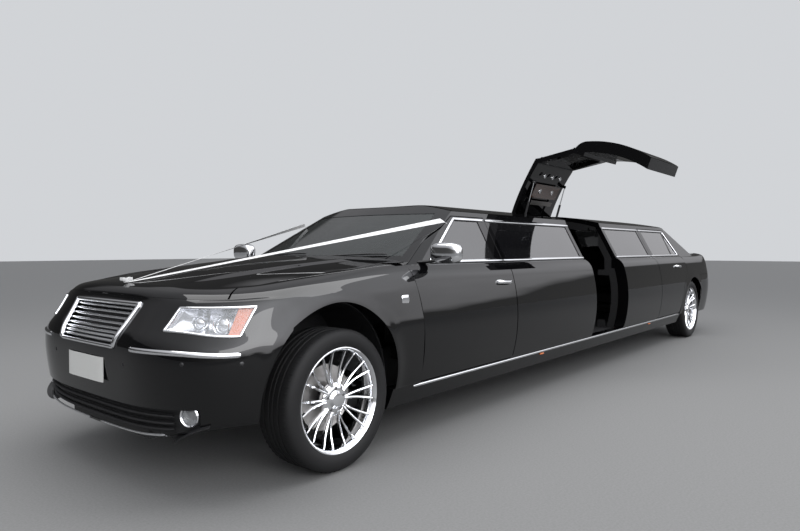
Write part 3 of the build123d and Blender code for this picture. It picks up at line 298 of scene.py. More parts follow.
# %% Painting the solids
SLOT_PAINT = {"body_paint": lacquer, "tinted_glass": tint, "clear_glass": clear, "lamp_glass": lens,
              "lamp_red": red, "black_plastic": black_plastic, "chassis_black": underbody,
              "casting": casting, "steel_pipe": steel, "chrome": chrome, "tyre_rubber": rubber,
              "leather": leather, "cabinet_gloss": wood}
SLOT_OF = {entry["node"]: entry["material_slot"] for entry in frame["record"]["subparts"]}
for name, node in NODES.items():
    node.data.materials.clear()
    node.data.materials.append(SLOT_PAINT[SLOT_OF[name]].material)
print(len(NODES), "solids painted")

# %% [markdown]
# Polished paint and chrome need something to reflect. Reflected rays see an overcast sky over a dark
# line of distance, low on the car's left and higher on its right; all other light comes from a plain,
# even dome. Painting the sky by the ray's direction costs nothing and leaves the room around empty.

# %% Sky
SKY_STOPS = [(0.0, (.075, .073, .07, 1)), (0.500, (.06, .06, .06, 1)), (0.525, (.30, .30, .31, 1)),
             (0.62, (.46, .46, .48, 1)), (0.78, (.66, .67, .70, 1)), (1.0, (.95, .97, 1.0, 1))]
DOME_COLOUR = (.80, .82, .85, 1)
DOME_STRENGTH, LEFT_STRENGTH = 0.8, 7.5

world = bpy.data.worlds.new("dome")
scene.world = world
world.use_nodes = True
sky = Nodes(world.node_tree)
toward = sky.node("ShaderNodeTexCoord", output=0)
upward = sky.node("ShaderNodeSeparateXYZ", None, {0: toward}, 2)
leftward = sky.node("ShaderNodeSeparateXYZ", None, {0: toward}, 1)
clouds = sky.node("ShaderNodeTexNoise", None, {"Vector": toward, "Scale": 3.0, "Detail": 4.0})
height = 0.5 * upward + 0.09 * leftward + 0.33 + 0.16 * clouds
seen = sky.node("ShaderNodeValToRGB", {"stops": SKY_STOPS}, {0: height})
glossy = sky.node("ShaderNodeLightPath", output=3)
dome = sky.node("ShaderNodeMix", {"data_type": "RGBA"}, {0: glossy, 6: DOME_COLOUR, 7: seen}, 2)
background = sky.tree.nodes["Background"]
sky.tree.links.new(dome.socket, background.inputs["Color"])
from_left = 0.5 * leftward + 0.5
strength = DOME_STRENGTH + LEFT_STRENGTH * glossy * from_left * from_left * from_left
sky.tree.links.new(strength.socket, background.inputs["Strength"])
print("sky of", len(world.node_tree.nodes), "nodes")

# %% [markdown]
# Lacquered steel shows its shape only through what it reflects, so each outer panel is one smooth
# surface. Cubic splines run through a few measured outlines in both directions, and panels are cut
# out of the same sheet along their shut lines, so highlights run on from one panel to the next.

# %% Spline weights


def weights(count, t):
    """Clamped cubic B-spline weights of `count` points at t in 0..1, by the Cox-de Boor sums; the
    knots lie on the table's own places, so the sheet doesn't swing between them."""
    t = np.clip(np.asarray(t, float), 0, 1 - 1e-9)[..., None]
    knots = np.concatenate([[0] * 4, np.arange(2, count - 2) / (count - 1), [1] * 4])
    w = ((knots[:-1] <= t) & (t < knots[1:])).astype(float)
    for d in range(1, 4):
        rise = np.maximum(knots[d:-1] - knots[:-d - 1], 1e-12)
        fall = np.maximum(knots[d + 1:] - knots[1:-d], 1e-12)
        w = (t - knots[:-d - 1]) / rise * w[..., :-1] + (knots[d + 1:] - t) / fall * w[..., 1:]
    return w


def spline_points(table):
    """Control points, along the first direction, of the cubic that passes through the table's rows."""
    count = len(table)
    solved = np.linalg.solve(weights(count, np.linspace(0, 1, count)), table.reshape(count, -1))
    return solved.reshape(table.shape)


def curve(points, count):
    """`count` points on the cubic through a few points."""
    points = np.array(points, float)
    return weights(len(points), np.linspace(0, 1, count)) @ spline_points(points)


print("weights of five points half way:", weights(5, 0.5).round(3))

# %% [markdown]
# A sheet is such a spline in two directions. Reading it backwards, for the place where it reaches a
# wanted height or position, is how a shut line that is straight in space is found on a curved panel.
# A sheet that meets the centre plane is continued over it, so it crosses level and without a crease.

# %% A sheet through a table
FINE_STEPS = 300


class Sheet:
    """A surface through a table of points [column, row, xyz]; u counts columns and v counts rows."""

    def __init__(self, table, mirrored=None):
        """`mirrored` continues the sheet over the centre plane beyond its "first" or "last" column."""
        table = np.array(table, float)
        self.columns, self.rows = table.shape[:2]
        self.before = self.columns - 1 if mirrored == "first" else 0
        if mirrored == "first":
            table = np.concatenate([table[:0:-1] * (1, -1, 1), table])
        elif mirrored == "last":
            table = np.concatenate([table, table[-2::-1] * (1, -1, 1)])
        self.total = len(table)
        along = spline_points(table)
        self.net = np.swapaxes(spline_points(np.swapaxes(along, 0, 1)), 0, 1)

    def at(self, u, v):
        """S(u, v) = sum of B_i(u) B_j(v) P_ij."""
        u, v = np.broadcast_arrays(np.asarray(u, float), np.asarray(v, float))
        wu = weights(self.total, (u + self.before) / (self.total - 1))
        wv = weights(self.rows, v / (self.rows - 1))
        return np.einsum("...i,...j,ijk->...k", wu, wv, self.net, optimize=True)

    def column_at(self, v, axis, value, low, high):
        """For each v, the u between two columns at which a coordinate takes the wanted value."""
        fine = np.linspace(low, high, FINE_STEPS)
        lines = self.at(fine[:, None], np.asarray(v, float)[None, :])[..., axis]
        sign = 1 if lines[-1].mean() > lines[0].mean() else -1
        wanted = np.broadcast_to(value, len(v))
        return np.array([np.interp(sign * w, sign * line, fine) for w, line in zip(wanted, lines.T)])

    def row_at(self, u, height, low, high):
        """For each u, the v between two rows at which the surface reaches the wanted height."""
        fine = np.linspace(low, high, FINE_STEPS)
        lines = self.at(np.asarray(u, float)[:, None], fine[None, :])[..., 2]
        wanted = np.broadcast_to(height, len(u))
        return np.array([np.interp(w, line, fine) for w, line in zip(wanted, lines)])


print("a sheet is read backwards in", FINE_STEPS, "steps")

# %% [markdown]
# Between the axles the body keeps one cross-section: an arc up to the shoulder and a tighter one over
# the brow. The solid is made from the same two circles, and the skins lie a hair outside them.

# %% Steps and the side's section


def steps(count, low=0.0, high=1.0):
    """Even steps: low + (high - low) t."""
    return low + (high - low) * np.linspace(0, 1, count)


def between(low, high, count):
    """Even steps between two arrays, along a new last axis."""
    return low[:, None] + (high - low)[:, None] * steps(count)[None, :]


def circle_y(z, *three):
    """Half width at height z on the circle through three (y, z) points: y = oy + sqrt(r^2 - (z - oz)^2)."""
    (ay, az), (by, bz), (cy, cz) = three
    turn = 2 * np.array([[by - ay, bz - az], [cy - ay, cz - az]])
    squares = np.array([by ** 2 + bz ** 2 - ay ** 2 - az ** 2, cy ** 2 + cz ** 2 - ay ** 2 - az ** 2])
    oy, oz = np.linalg.solve(turn, squares)
    return oy + np.sqrt(np.maximum((ay - oy) ** 2 + (az - oz) ** 2 - (z - oz) ** 2, 0))


PROUD = 0.0025
SHOULDER_HALF, SHOULDER_Z = 0.915, 0.943
BELT_HALF, BELT_Z = 0.833, 1.043


def section(z):
    """Half width of the body's side: one arc up to the shoulder and one over the brow."""
    z = np.asarray(z, float)
    side = circle_y(z, (0.905, 0.335), (0.955, 0.690), (SHOULDER_HALF, SHOULDER_Z))
    brow = circle_y(z, (SHOULDER_HALF, SHOULDER_Z), (0.885, 1.005), (BELT_HALF, BELT_Z))
    return np.where(z < SHOULDER_Z, side, brow) + PROUD


print("side half width at the waist", round(float(section(0.69)), 4))

# %% [markdown]
# Every new piece goes through one maker: points and quads become a mesh, doubled points are merged,
# edges sharper than 38 degrees and open rims are marked sharp, and the piece is told which body it
# rides on and which solid it stands for. A steel skin gets its wall inward.

# %% Making a piece
WALL = 0.004
SHARP_ANGLE = math.radians(38)
SAME_PLACE = 3e-6


def mesh_piece(name, coords, faces, body, slot, paint, replaces=(), thick=0.0, turn=None):
    """A smooth mesh of points and quads; `turn` carries a shut panel to its stored, open place."""
    if turn is not None:
        coords = turn(coords)
    mesh = bpy.data.meshes.new(name)
    mesh.from_pydata(coords.tolist(), [], faces.tolist())
    merged = bmesh.new()
    merged.from_mesh(mesh)
    bmesh.ops.remove_doubles(merged, verts=merged.verts, dist=SAME_PLACE)
    merged.to_mesh(mesh)
    merged.free()
    mesh.polygons.foreach_set("use_smooth", np.ones(len(mesh.polygons), bool))
    mesh.set_sharp_from_angle(angle=SHARP_ANGLE)
    sharp = np.zeros(len(mesh.edges), bool)
    mesh.attributes["sharp_edge"].data.foreach_get("value", sharp)
    uses = np.zeros(len(mesh.edges), int)
    loops = np.empty(len(mesh.loops), int)
    mesh.loops.foreach_get("edge_index", loops)
    np.add.at(uses, loops, 1)
    mesh.attributes["sharp_edge"].data.foreach_set("value", sharp | (uses == 1))
    made = bpy.data.objects.new(name.replace(" ", "_"), mesh)
    scene.collection.objects.link(made)
    mesh.materials.append(paint.material)
    if thick:
        wall = made.modifiers.new("thickness", "SOLIDIFY")
        wall.thickness = thick
        wall.offset = -1
    if replaces:
        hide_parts(*replaces)
    if body is not None:
        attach(made, body)
    print(made.name, "of", len(mesh.vertices), "points")
    return made

# %% [markdown]
# Two kinds of grid cover almost everything on the car: an open patch of a panel, and a closed bar
# that follows a path, as trim strips, spokes and handles do. Both are whole arrays of points, and a
# mirrored copy has its quads turned round so that its faces still point outward.

# %% Patches and bars


def grid_faces(columns, rows, first=0, around=False):
    """Quads of a grid of points; `around` closes it along the rows."""
    index = np.arange(columns * rows).reshape(columns, rows) + first
    if around:
        index = np.concatenate([index, index[:, :1]], 1)
    return np.stack([index[:-1, :-1], index[1:, :-1], index[1:, 1:], index[:-1, 1:]], -1).reshape(-1, 4)


def panels(name, sheets, body, slot, paint, sides="both", **rest):
    """Grids [column, row, xyz] as one piece: on the left, mirrored to the right, or joined across."""
    coords, faces, first = [], [], 0
    for sheet in sheets:
        for side in {"both": (1, -1), "left": (1,), "right": (-1,), "joined": (0,)}[sides]:
            if side == 0:
                grid = np.concatenate([sheet[:0:-1] * (1, -1, 1), sheet])
            else:
                grid = sheet * (1, side, 1)
            quads = grid_faces(*grid.shape[:2], first)
            faces.append(quads[:, ::-1] if side == -1 else quads)
            coords.append(grid.reshape(-1, 3))
            first += grid.shape[0] * grid.shape[1]
    return mesh_piece(name, np.concatenate(coords), np.concatenate(faces), body, slot, paint, **rest)


def bar_grid(path, wide, out, half_wide, half_out, sides=12):
    """A bar of oval section along a path: path + a cos(w) wide + b sin(w) out, closed at its ends."""
    path = np.array(path, float)
    count = len(path)
    wide, out = (np.broadcast_to(np.array(d, float), (count, 3)) for d in (wide, out))
    angle = np.arange(sides) * 2 * np.pi / sides
    swell = np.concatenate([[0.0, 0.7], np.ones(count - 2), [0.7, 0.0]])
    at = np.concatenate([[0, 0], np.arange(1, count - 1), [count - 1] * 2])
    a, b = (swell * np.broadcast_to(h, count)[at] for h in (half_wide, half_out))
    return (path[at][:, None] + (a[:, None] * np.cos(angle))[..., None] * wide[at][:, None]
            + (b[:, None] * np.sin(angle))[..., None] * out[at][:, None])


def bars(name, grids, body, slot, paint, sides="both", **rest):
    """Closed grids as one piece, on one side or both; a grid whose faces point inward is turned round."""
    coords, faces, first = [], [], 0
    for grid in grids:
        for side in {"both": (1, -1), "left": (1,), "right": (-1,)}[sides]:
            quads = grid_faces(*grid.shape[:2], first, around=True)
            points = (grid * (1, side, 1)).reshape(-1, 3)
            corner, second, third = (points[quads[:, k] - first] for k in range(3))
            outward = np.einsum("ij,ij->", np.cross(second - corner, third - corner), corner - points.mean(0))
            faces.append(quads[:, ::-1] if outward < 0 else quads)
            coords.append(points)
            first += len(points)
    return mesh_piece(name, np.concatenate(coords), np.concatenate(faces), body, slot, paint, **rest)


print("a patch of 3 by 4 points has", len(grid_faces(3, 4)), "quads")

# %% [markdown]
# The front end is one sheet from the middle of the nose, round the corner and back into the front
# door. Thirteen upright outlines, each at nine heights: the lip, the lower face, the bumper's crest,
# the bottom and top of the lamps, and over the brow to the bonnet's shut line.

# %% Front sheet
FRONT_TABLE = [
    [(.815, 0, .275), (.845, 0, .43), (.865, 0, .66), (.825, 0, .765), (.757, 0, .87),
     (.738, 0, .905), (.722, 0, .932), (.690, 0, .950), (.645, 0, .961)],
    [(.812, .28, .278), (.842, .28, .43), (.862, .28, .66), (.822, .28, .766), (.754, .28, .87),
     (.735, .28, .905), (.718, .28, .931), (.686, .28, .949), (.640, .28, .959)],
    [(.800, .49, .287), (.826, .50, .435), (.848, .50, .66), (.806, .49, .767), (.738, .47, .87),
     (.717, .462, .905), (.698, .452, .928), (.664, .44, .944), (.620, .43, .953)],
    [(.762, .665, .318), (.770, .69, .44), (.786, .69, .66), (.738, .665, .763), (.684, .64, .872),
     (.661, .628, .903), (.640, .615, .923), (.606, .60, .939), (.560, .58, .948)],
    [(.668, .795, .345), (.676, .825, .45), (.690, .828, .655), (.655, .80, .748), (.592, .775, .874),
     (.567, .758, .905), (.543, .742, .925), (.505, .715, .942), (.46, .685, .952)],
    [(.545, .872, .352), (.548, .898, .46), (.552, .908, .655), (.530, .894, .750), (.470, .872, .878),
     (.440, .853, .913), (.408, .825, .938), (.37, .782, .957), (.33, .722, .967)],
    [(.37, .897, .350), (.37, .925, .46), (.37, .944, .66), (.355, .938, .76), (.315, .918, .879),
     (.285, .904, .920), (.25, .876, .954), (.21, .82, .978), (.17, .736, .988)],
    [(.12, .905, .348), (.12, .935, .46), (.12, .9585, .66), (.12, .953, .76), (.10, .934, .882),
     (.08, .918, .930), (.05, .889, .972), (.02, .83, .998), (-.01, .746, 1.008)],
    [(-.15, .9075, .35), (-.15, .937, .46), (-.15, .960, .66), (-.15, .955, .76), (-.155, .936, .882),
     (-.16, .917, .940), (-.175, .884, .990), (-.19, .83, 1.018), (-.21, .752, 1.027)],
    [(-.38, .9075, .35), (-.38, .9375, .46), (-.38, .959, .66), (-.38, .954, .76), (-.38, .938, .88),
     (-.38, .9175, .943), (-.385, .886, .999), (-.39, .832, 1.034), (-.40, .757, 1.043)],
]
DOOR_ROWS = (.35, .46, .66, .76, .88, SHOULDER_Z, 1.003)
for x in (-.605, -.83, -1.06):
    FRONT_TABLE.append([(x, float(section(z)), z) for z in DOOR_ROWS]
                       + [(x, BELT_HALF + PROUD, 1.0435), (x, .760, 1.058)])
front = Sheet(np.array(FRONT_TABLE) + (FRONT_AXLE, 0, 0), "first")
TOP_V = 8.0
print("front sheet", front.columns, "columns", front.rows, "rows")

# %% [markdown]
# Shut lines, lamp ends and wheel openings are lines on the sheet. Some are given in the sheet's own
# numbers u and v, others are straight or round in space, and their u is looked up for each v. The
# lip of a wheel opening is rolled outward, which a bump of the sheet beside the opening gives.

# %% Lines on the front sheet
FRONT_ARCH = (FRONT_AXLE + 0.045, 0.410, 0.461)
REAR_ARCH = (REAR_AXLE, 0.372, 0.402)
FENDER_EDGE = curve([(.355, -.655), (.52, -.650), (.70, -.641), (.86, -.622), (.983, -.602),
                     (1.06, -.600)], 60)
SEAM_COLUMNS = (8, 12)
SILL_EDGE_Z = 0.358
BONNET_V = 5.15
CORNER_U = 4.05
SHUT = 0.004


def flared(grid, arch, height=0.011, width=0.055):
    """A rolled lip round a wheel opening: y + h exp(-(d / w)^2), with d the distance to its edge."""
    x, z, radius = arch
    away = np.maximum(np.hypot(grid[..., 0] - x, grid[..., 2] - z) - radius, 0)
    pushed = grid.copy()
    pushed[..., 1] += height * np.exp(-(away / width) ** 2)
    return pushed


def arch_edge(x, arch, floor_z):
    """Height z0 + sqrt(r^2 - (x - x0)^2) of the wheel opening over x, and the sill's beside it."""
    rise = arch[2] ** 2 - (x - arch[0]) ** 2
    return np.maximum(np.where(rise > 0, arch[1] + np.sqrt(np.maximum(rise, 0)), floor_z), floor_z)


def fender_seam(v):
    """The u of the fender's rear edge for each v: the height at u gives the edge's x, and x gives u."""
    u = np.full(len(v), sum(SEAM_COLUMNS) / 2)
    for _ in range(3):
        z = front.at(u, v)[:, 2]
        x = FRONT_AXLE + np.interp(z, FENDER_EDGE[:, 0], FENDER_EDGE[:, 1])
        u = front.column_at(v, 0, x, *SEAM_COLUMNS)
    return u


def lamp_edges(v):
    """The u of a headlamp's inner and outer ends, 2.46 and 4.66, both leaning outward with v."""
    t = v - 3
    return 2.46 + 0.26 * t, 4.66 + 0.24 * t


def grille_edge(v):
    """The u of the grille's side, whose half width grows evenly from 0.290 to 0.336."""
    return front.column_at(v, 1, np.interp(v, [2.1, 4], [0.290, 0.336]), 0, 2)


def rows_patch(sheet, start, end, v, columns):
    """A grid whose rows run at fixed v, evenly from one end in u to the other."""
    u = between(start, end, columns).T
    return sheet.at(u, np.broadcast_to(v, u.shape))


def at_x(x, v, low, high):
    """The u, between two columns, of an upright line at x, in metres from the front axle."""
    return front.column_at(v, 0, FRONT_AXLE + x, low, high)


def arch_side(v, sign, low, high):
    """The u of the wheel opening's front (1) or rear (-1) edge: x0 + sign sqrt(r^2 - (z - z0)^2)."""
    u = np.full(len(v), (low + high) / 2)
    for _ in range(4):
        z = front.at(u, v)[:, 2]
        reach = np.sqrt(np.maximum(FRONT_ARCH[2] ** 2 - np.maximum(z - FRONT_ARCH[1], 0) ** 2, 0))
        u = front.column_at(v, 0, FRONT_ARCH[0] + sign * reach, low, high)
    return u


print("fender ends at column", fender_seam(steps(3, 2, 4)).round(2))

# %% [markdown]
# The bumper is one moulding from wheel to wheel, with openings for grille, lamps and lower intake.
# Six patches of the sheet leave those out. The first three reach the centre plane and are joined
# over it, and the others are mirrored, so no seam shows in the middle of the nose.

# %% Bumper skin
lip_v, intake_v, face_v = steps(5, 0, 0.22), steps(9, 0.22, 0.95), steps(14, 0.95, 2.08)
crest_v, lamp_v, header_v = steps(12, 2.08, 3.0), steps(16, 3.0, 4.0), steps(14, 4.0, BONNET_V)
INTAKE_U = 3.55
LAMP_SLIT = 0.03
centre_parts = [rows_patch(front, 0 * lip_v, arch_side(lip_v, 1, 4, 7), lip_v, 70),
                rows_patch(front, 0 * face_v, arch_side(face_v, 1, 4, 7), face_v, 70),
                rows_patch(front, 0 * header_v, 0 * header_v + CORNER_U, header_v, 60)]
side_parts = [rows_patch(front, 0 * intake_v + INTAKE_U, arch_side(intake_v, 1, 4, 7), intake_v, 26),
              rows_patch(front, grille_edge(crest_v), arch_side(crest_v, 1, 4, 7), crest_v, 60),
              rows_patch(front, grille_edge(lamp_v), lamp_edges(lamp_v)[0] - LAMP_SLIT, lamp_v, 24)]
bumper_parts = [flared(part, FRONT_ARCH) for part in centre_parts + side_parts]
whole = [np.concatenate([part[:0:-1] * (1, -1, 1), part]) for part in bumper_parts[:3]]
halves = [part[::-1] * (1, -1, 1) for part in bumper_parts[3:]]
panels("bumper skin", whole + bumper_parts[3:] + halves, "body", "body_paint", lacquer, sides="left",
       replaces=("front_bumper",), thick=WALL)

# %% [markdown]
# A fender reaches from the lamp over the wheel to the door, and up to the bonnet. Its patches meet
# along lines of equal u or v, where their points fall together and are merged. Over the wheel the
# columns start on the opening's own arc, so the edge is round and not stepped.

# %% Fender skins
OVER_V = 4.6
ahead_v, over_v, top_v = steps(16, 3.0, 4.0), steps(10, 4.0, OVER_V), steps(40, OVER_V, TOP_V)
ARCH_U = [float(at_x(x, np.array([3.0]), low, low + 3)[0]) for x, low in ((0.345, 5), (-0.255, 7))]
column_u = steps(70, *ARCH_U)
column_x = front.at(column_u, 3.4)[:, 0]
column_low = front.row_at(column_u, arch_edge(column_x, FRONT_ARCH, SILL_EDGE_Z), 1, 5)
over_arch = front.at(column_u[:, None], between(column_low, 0 * column_low + OVER_V, 24))
behind_v = steps(30, 0.03, 3.0)
above_v = steps(18, 3.0, OVER_V)
fender_parts = [rows_patch(front, lamp_edges(ahead_v)[1] + LAMP_SLIT, 0 * ahead_v + ARCH_U[0], ahead_v, 26),
                rows_patch(front, 0 * over_v + CORNER_U, 0 * over_v + ARCH_U[0], over_v, 40),
                over_arch,
                rows_patch(front, arch_side(behind_v, -1, 7, 11), fender_seam(behind_v), behind_v, 34),
                rows_patch(front, 0 * above_v + ARCH_U[1], fender_seam(above_v), above_v, 34),
                rows_patch(front, 0 * top_v + CORNER_U, fender_seam(top_v), top_v, 120)]
panels("fender skins", [flared(part, FRONT_ARCH) for part in fender_parts], "body", "body_paint",
       lacquer, replaces=("front_fenders",), thick=WALL)

# %% [markdown]
# The bonnet starts on the front sheet, over the lamps, and runs back to the screen between the
# fenders' crests. Its middle is raised a little inside two long creases.

# %% Bonnet
BONNET_SIDE_U = 3.99
BONNET_BOW = 0.172
CREASE_RISE, CREASE_WIDTH = 0.009, 0.012
BONNET_COLUMNS = steps(12, 0, BONNET_SIDE_U)
SPREAD = np.interp(BONNET_COLUMNS, [0, 1, 2, 3, 3.6, BONNET_SIDE_U], [0, 0.41, 0.63, 0.85, 0.955, 1])
STATIONS = [(.30, .714, .968), (.15, .730, .985), (-.02, .741, 1.002), (-.22, .747, 1.022),
            (-.40, .750, 1.038), (-.558, .751, 1.050)]
MIDDLE = [(-.42, 1.080), (-.2, 1.060), (0, 1.040), (.2, 1.016), (.4, .990), (.62, .963)]

nose_rows = front.at(BONNET_COLUMNS[:, None], np.array([[TOP_V]]))
back_rows = []
for edge_x, edge_y, edge_z in STATIONS:
    middle_z = np.interp(edge_x + BONNET_BOW, *np.array(MIDDLE).T)
    back_rows.append(np.stack([FRONT_AXLE + edge_x + BONNET_BOW * (1 - SPREAD ** 2), edge_y * SPREAD,
                               middle_z + (edge_z - middle_z) * SPREAD ** 2.2], 1))
bonnet = Sheet(np.concatenate([nose_rows, np.stack(back_rows, 1)], 1), "first")
bonnet_u, bonnet_v = steps(67, 0, 11), steps(96, 0, 6)
roll = front.at(BONNET_SIDE_U * steps(67)[:, None], steps(16, BONNET_V + 0.05, TOP_V)[None, :-1])
bonnet_grid = np.concatenate([roll, bonnet.at(bonnet_u[:, None], bonnet_v[None, :])], 1)

# The middle rises by h / (1 + exp((|y| - crease) / w)), fading in behind the leading edge.
crease_y = np.interp(bonnet_grid[..., 0] - FRONT_AXLE, [-.5, .6], [.50, .36])
raised = 1 / (1 + np.exp((np.abs(bonnet_grid[..., 1]) - crease_y) / CREASE_WIDTH))
fade = np.clip((np.concatenate([np.zeros(roll.shape[1]), bonnet_v]) - 0.1) / 2.2, 0, 1)
bonnet_grid[..., 2] += CREASE_RISE * raised * fade[None, :]
panels("bonnet skin", [bonnet_grid], "bonnet", "body_paint", lacquer, sides="joined",
       replaces=("bonnet",), thick=WALL)

# %% [markdown]
# Along the doors and the stretch the body keeps one section, so these skins are that section run
# along, cut at each shut line, and laid a hair outside the solid panels.

# %% Side skins
B_SEAM, JET_FRONT, JET_REAR, REAR_SEAM = 1.5645, 0.1195, -0.6655, -1.7405
DOOR_GAP, WALL_GAP, JET_GAP = 0.002, 0.008, 0.006
REAR_DOOR_EDGE = curve([(.305, .480), (.56, .470), (.72, .395), (.85, .255), (.902, .240), (1.07, .240)], 80)
JET_AXIS = (0.075, 1.486)
JET_TURN = math.radians(71)
side_z = np.concatenate([steps(34, SILL_EDGE_Z + 0.003, 0.90), steps(22, 0.90, 1.0405)[1:]])


def opened(points):
    """Turns the shut roof-hinged door's points open: y' = c y - s z, z' = s y + c z about its axis."""
    y, z = points[..., 1] - JET_AXIS[0], points[..., 2] - JET_AXIS[1]
    c, s = math.cos(JET_TURN), math.sin(JET_TURN)
    return np.stack([points[..., 0], JET_AXIS[0] + c * y - s * z, JET_AXIS[1] + s * y + c * z], -1)


def side_grid(x_front, x_rear, columns):
    """The constant section between two shut lines."""
    x = between(np.broadcast_to(x_front, len(side_z)), np.broadcast_to(x_rear, len(side_z)), columns).T
    return np.stack([x, np.broadcast_to(section(side_z), x.shape), np.broadcast_to(side_z, x.shape)], -1)


front_edge = FRONT_AXLE + np.interp(side_z, FENDER_EDGE[:, 0], FENDER_EDGE[:, 1]) - SHUT
rear_edge = REAR_AXLE + np.interp(side_z, REAR_DOOR_EDGE[:, 0], REAR_DOOR_EDGE[:, 1]) + SHUT / 2
front_skin = side_grid(front_edge, B_SEAM + DOOR_GAP, 40)
rear_skin = side_grid(REAR_SEAM - DOOR_GAP, rear_edge, 40)
for hand in ("left", "right"):
    panels(f"front door skin {hand}", [front_skin], f"front_door_{hand}", "body_paint", lacquer, sides=hand)
    panels(f"rear door skin {hand}", [rear_skin], f"rear_door_{hand}", "body_paint", lacquer, sides=hand)
panels("stretch skin left", [side_grid(B_SEAM - WALL_GAP, JET_FRONT + JET_GAP, 30),
                             side_grid(JET_REAR - JET_GAP, REAR_SEAM + WALL_GAP, 30)],
       "body", "body_paint", lacquer, sides="left")
panels("stretch skin right", [side_grid(B_SEAM - WALL_GAP, REAR_SEAM + WALL_GAP, 80)], "body",
       "body_paint", lacquer, sides="right")
panels("roof-hinged door skin", [side_grid(JET_FRONT - JET_GAP, JET_REAR + JET_GAP, 24)], "jet_door",
       "body_paint", lacquer, sides="left", turn=opened)

# %% [markdown]
# The rear end follows its plan round the corner. Each upright outline is that plan moved inward by
# an amount that grows over the brow, and the tail also leans in towards the lid.

# %% Rear sheet
FLANK = 0.9585
REAR_PLAN = ([(x, FLANK) for x in (.62, .42, .22, 0, -.25, -.48)]
             + [(-.66, .954), (-.81, .932), (-.93, .882), (-1.02, .795), (-1.075, .67), (-1.108, .48),
                (-1.128, .25), (-1.134, 0)])
SIDE_ROWS = np.array([.30, .46, .66, .80, .88, SHOULDER_Z, 1.003, 1.0435, 1.060])
TAIL_ROWS = np.array([.295, .46, .66, .80, .90, .985, 1.040, 1.068, 1.079])
TAIL_INSET = np.array([.030, .010, 0, .014, .028, .044, .058, .078, .125])
side_inset = np.append(FLANK - section(SIDE_ROWS[:-1]), 0.2585)
side_inset[7] = FLANK - (BELT_HALF + PROUD)
plan = np.array(REAR_PLAN)
run = np.gradient(plan, axis=0)
run[0] = run[1] = (-1, 0)
run[-1] = (0, -1)
run /= np.linalg.norm(run, axis=1, keepdims=True)
inward = np.stack([-run[:, 1], run[:, 0]], 1)
share = np.clip((-plan[:, 0] - 0.55) / 0.55, 0, 1)[:, None] ** 1.3
inset = (1 - share) * side_inset + share * TAIL_INSET
rear_table = np.concatenate([plan[:, None] + inset[..., None] * inward[:, None],
                             ((1 - share) * SIDE_ROWS + share * TAIL_ROWS)[..., None]], -1)
rear = Sheet(rear_table + (REAR_AXLE, 0, 0), "last")
print("rear sheet", rear.columns, "columns", rear.rows, "rows")

# %% [markdown]
# As in front, the shut lines and the wheel opening are looked up on the sheet. The door's edge curves
# over the wheel, so its x depends on the height.

# %% Lines on the rear sheet


def rear_x(x, v, low, high):
    """The u, between two columns, of an upright line at x, in metres from the rear axle."""
    return rear.column_at(v, 0, REAR_AXLE + x, low, high)


def rear_arch(v, sign):
    """The u of the rear wheel opening's front (1) or rear (-1) edge: sign sqrt(r^2 - (z - z0)^2)."""
    z = rear.at(0 * v + 3, v)[:, 2]
    reach = np.sqrt(np.maximum(REAR_ARCH[2] ** 2 - np.maximum(z - REAR_ARCH[1], 0) ** 2, 0))
    return rear_x(sign * reach, v, 0, 7)


def rear_door_side(v):
    """The u of the rear door's edge, whose x is read from its height."""
    z = rear.at(0 * v + 1, v)[:, 2]
    return rear_x(np.interp(z, REAR_DOOR_EDGE[:, 0], REAR_DOOR_EDGE[:, 1]) - SHUT, v, 0, 5)


print("rear door edge at column", rear_door_side(steps(3, 2, 4)).round(2))

# %% [markdown]
# A quarter panel runs from the rear door over the wheel to the tail lamp, in the same kind of patches
# as the fender.

# %% Quarter skins
ARCH_HALF = 0.236
BUMPER_X = -0.326
LAMP_X = -0.858
low_v, mid_v, high_v = steps(26, 0.28, 2.28), steps(14, 2.28, 3.0), steps(50, 3.0, TOP_V)
rear_u = [float(rear_x(x, np.array([2.28]), 0, 9)[0]) for x in (ARCH_HALF, -ARCH_HALF)]
crown_u = steps(50, *rear_u)
crown_low = rear.row_at(crown_u, arch_edge(rear.at(crown_u, 2.5)[:, 0], REAR_ARCH, SILL_EDGE_Z), 1, 4)
quarter_parts = [rows_patch(rear, rear_door_side(low_v), rear_arch(low_v, 1), low_v, 16),
                 rows_patch(rear, rear_door_side(mid_v), 0 * mid_v + rear_u[0], mid_v, 16),
                 rear.at(crown_u[:, None], between(crown_low, 0 * crown_low + 3.0, 20)),
                 rows_patch(rear, rear_arch(low_v, -1), rear_x(BUMPER_X, low_v, 3, 8), low_v, 10),
                 rows_patch(rear, 0 * mid_v + rear_u[1], rear_x(BUMPER_X, mid_v, 3, 8), mid_v, 10),
                 rows_patch(rear, rear_door_side(high_v), rear_x(LAMP_X + 0.004, high_v, 4, 12), high_v, 80)]
panels("quarter skins", [flared(part, REAR_ARCH, 0.007) for part in quarter_parts], "body", "body_paint",
       lacquer, replaces=("quarter_panels",), thick=WALL)

# %% [markdown]
# The tail lamp is a piece of the same sheet with a red lens, and above it the quarter closes against
# the boot lid. Beside the lid a gutter catches the rain; here it also closes the view into the boot.

# %% Tail lamps, caps and gutter
LID_HALF = 0.706
LAMP_V = 5.75
lamp_rows, cap_rows = steps(30, 3.04, LAMP_V), steps(26, LAMP_V + 0.05, TOP_V)


def lid_side(v):
    """The u where the rear sheet meets the boot lid's side."""
    return rear.column_at(v, 1, LID_HALF, 8, 13)


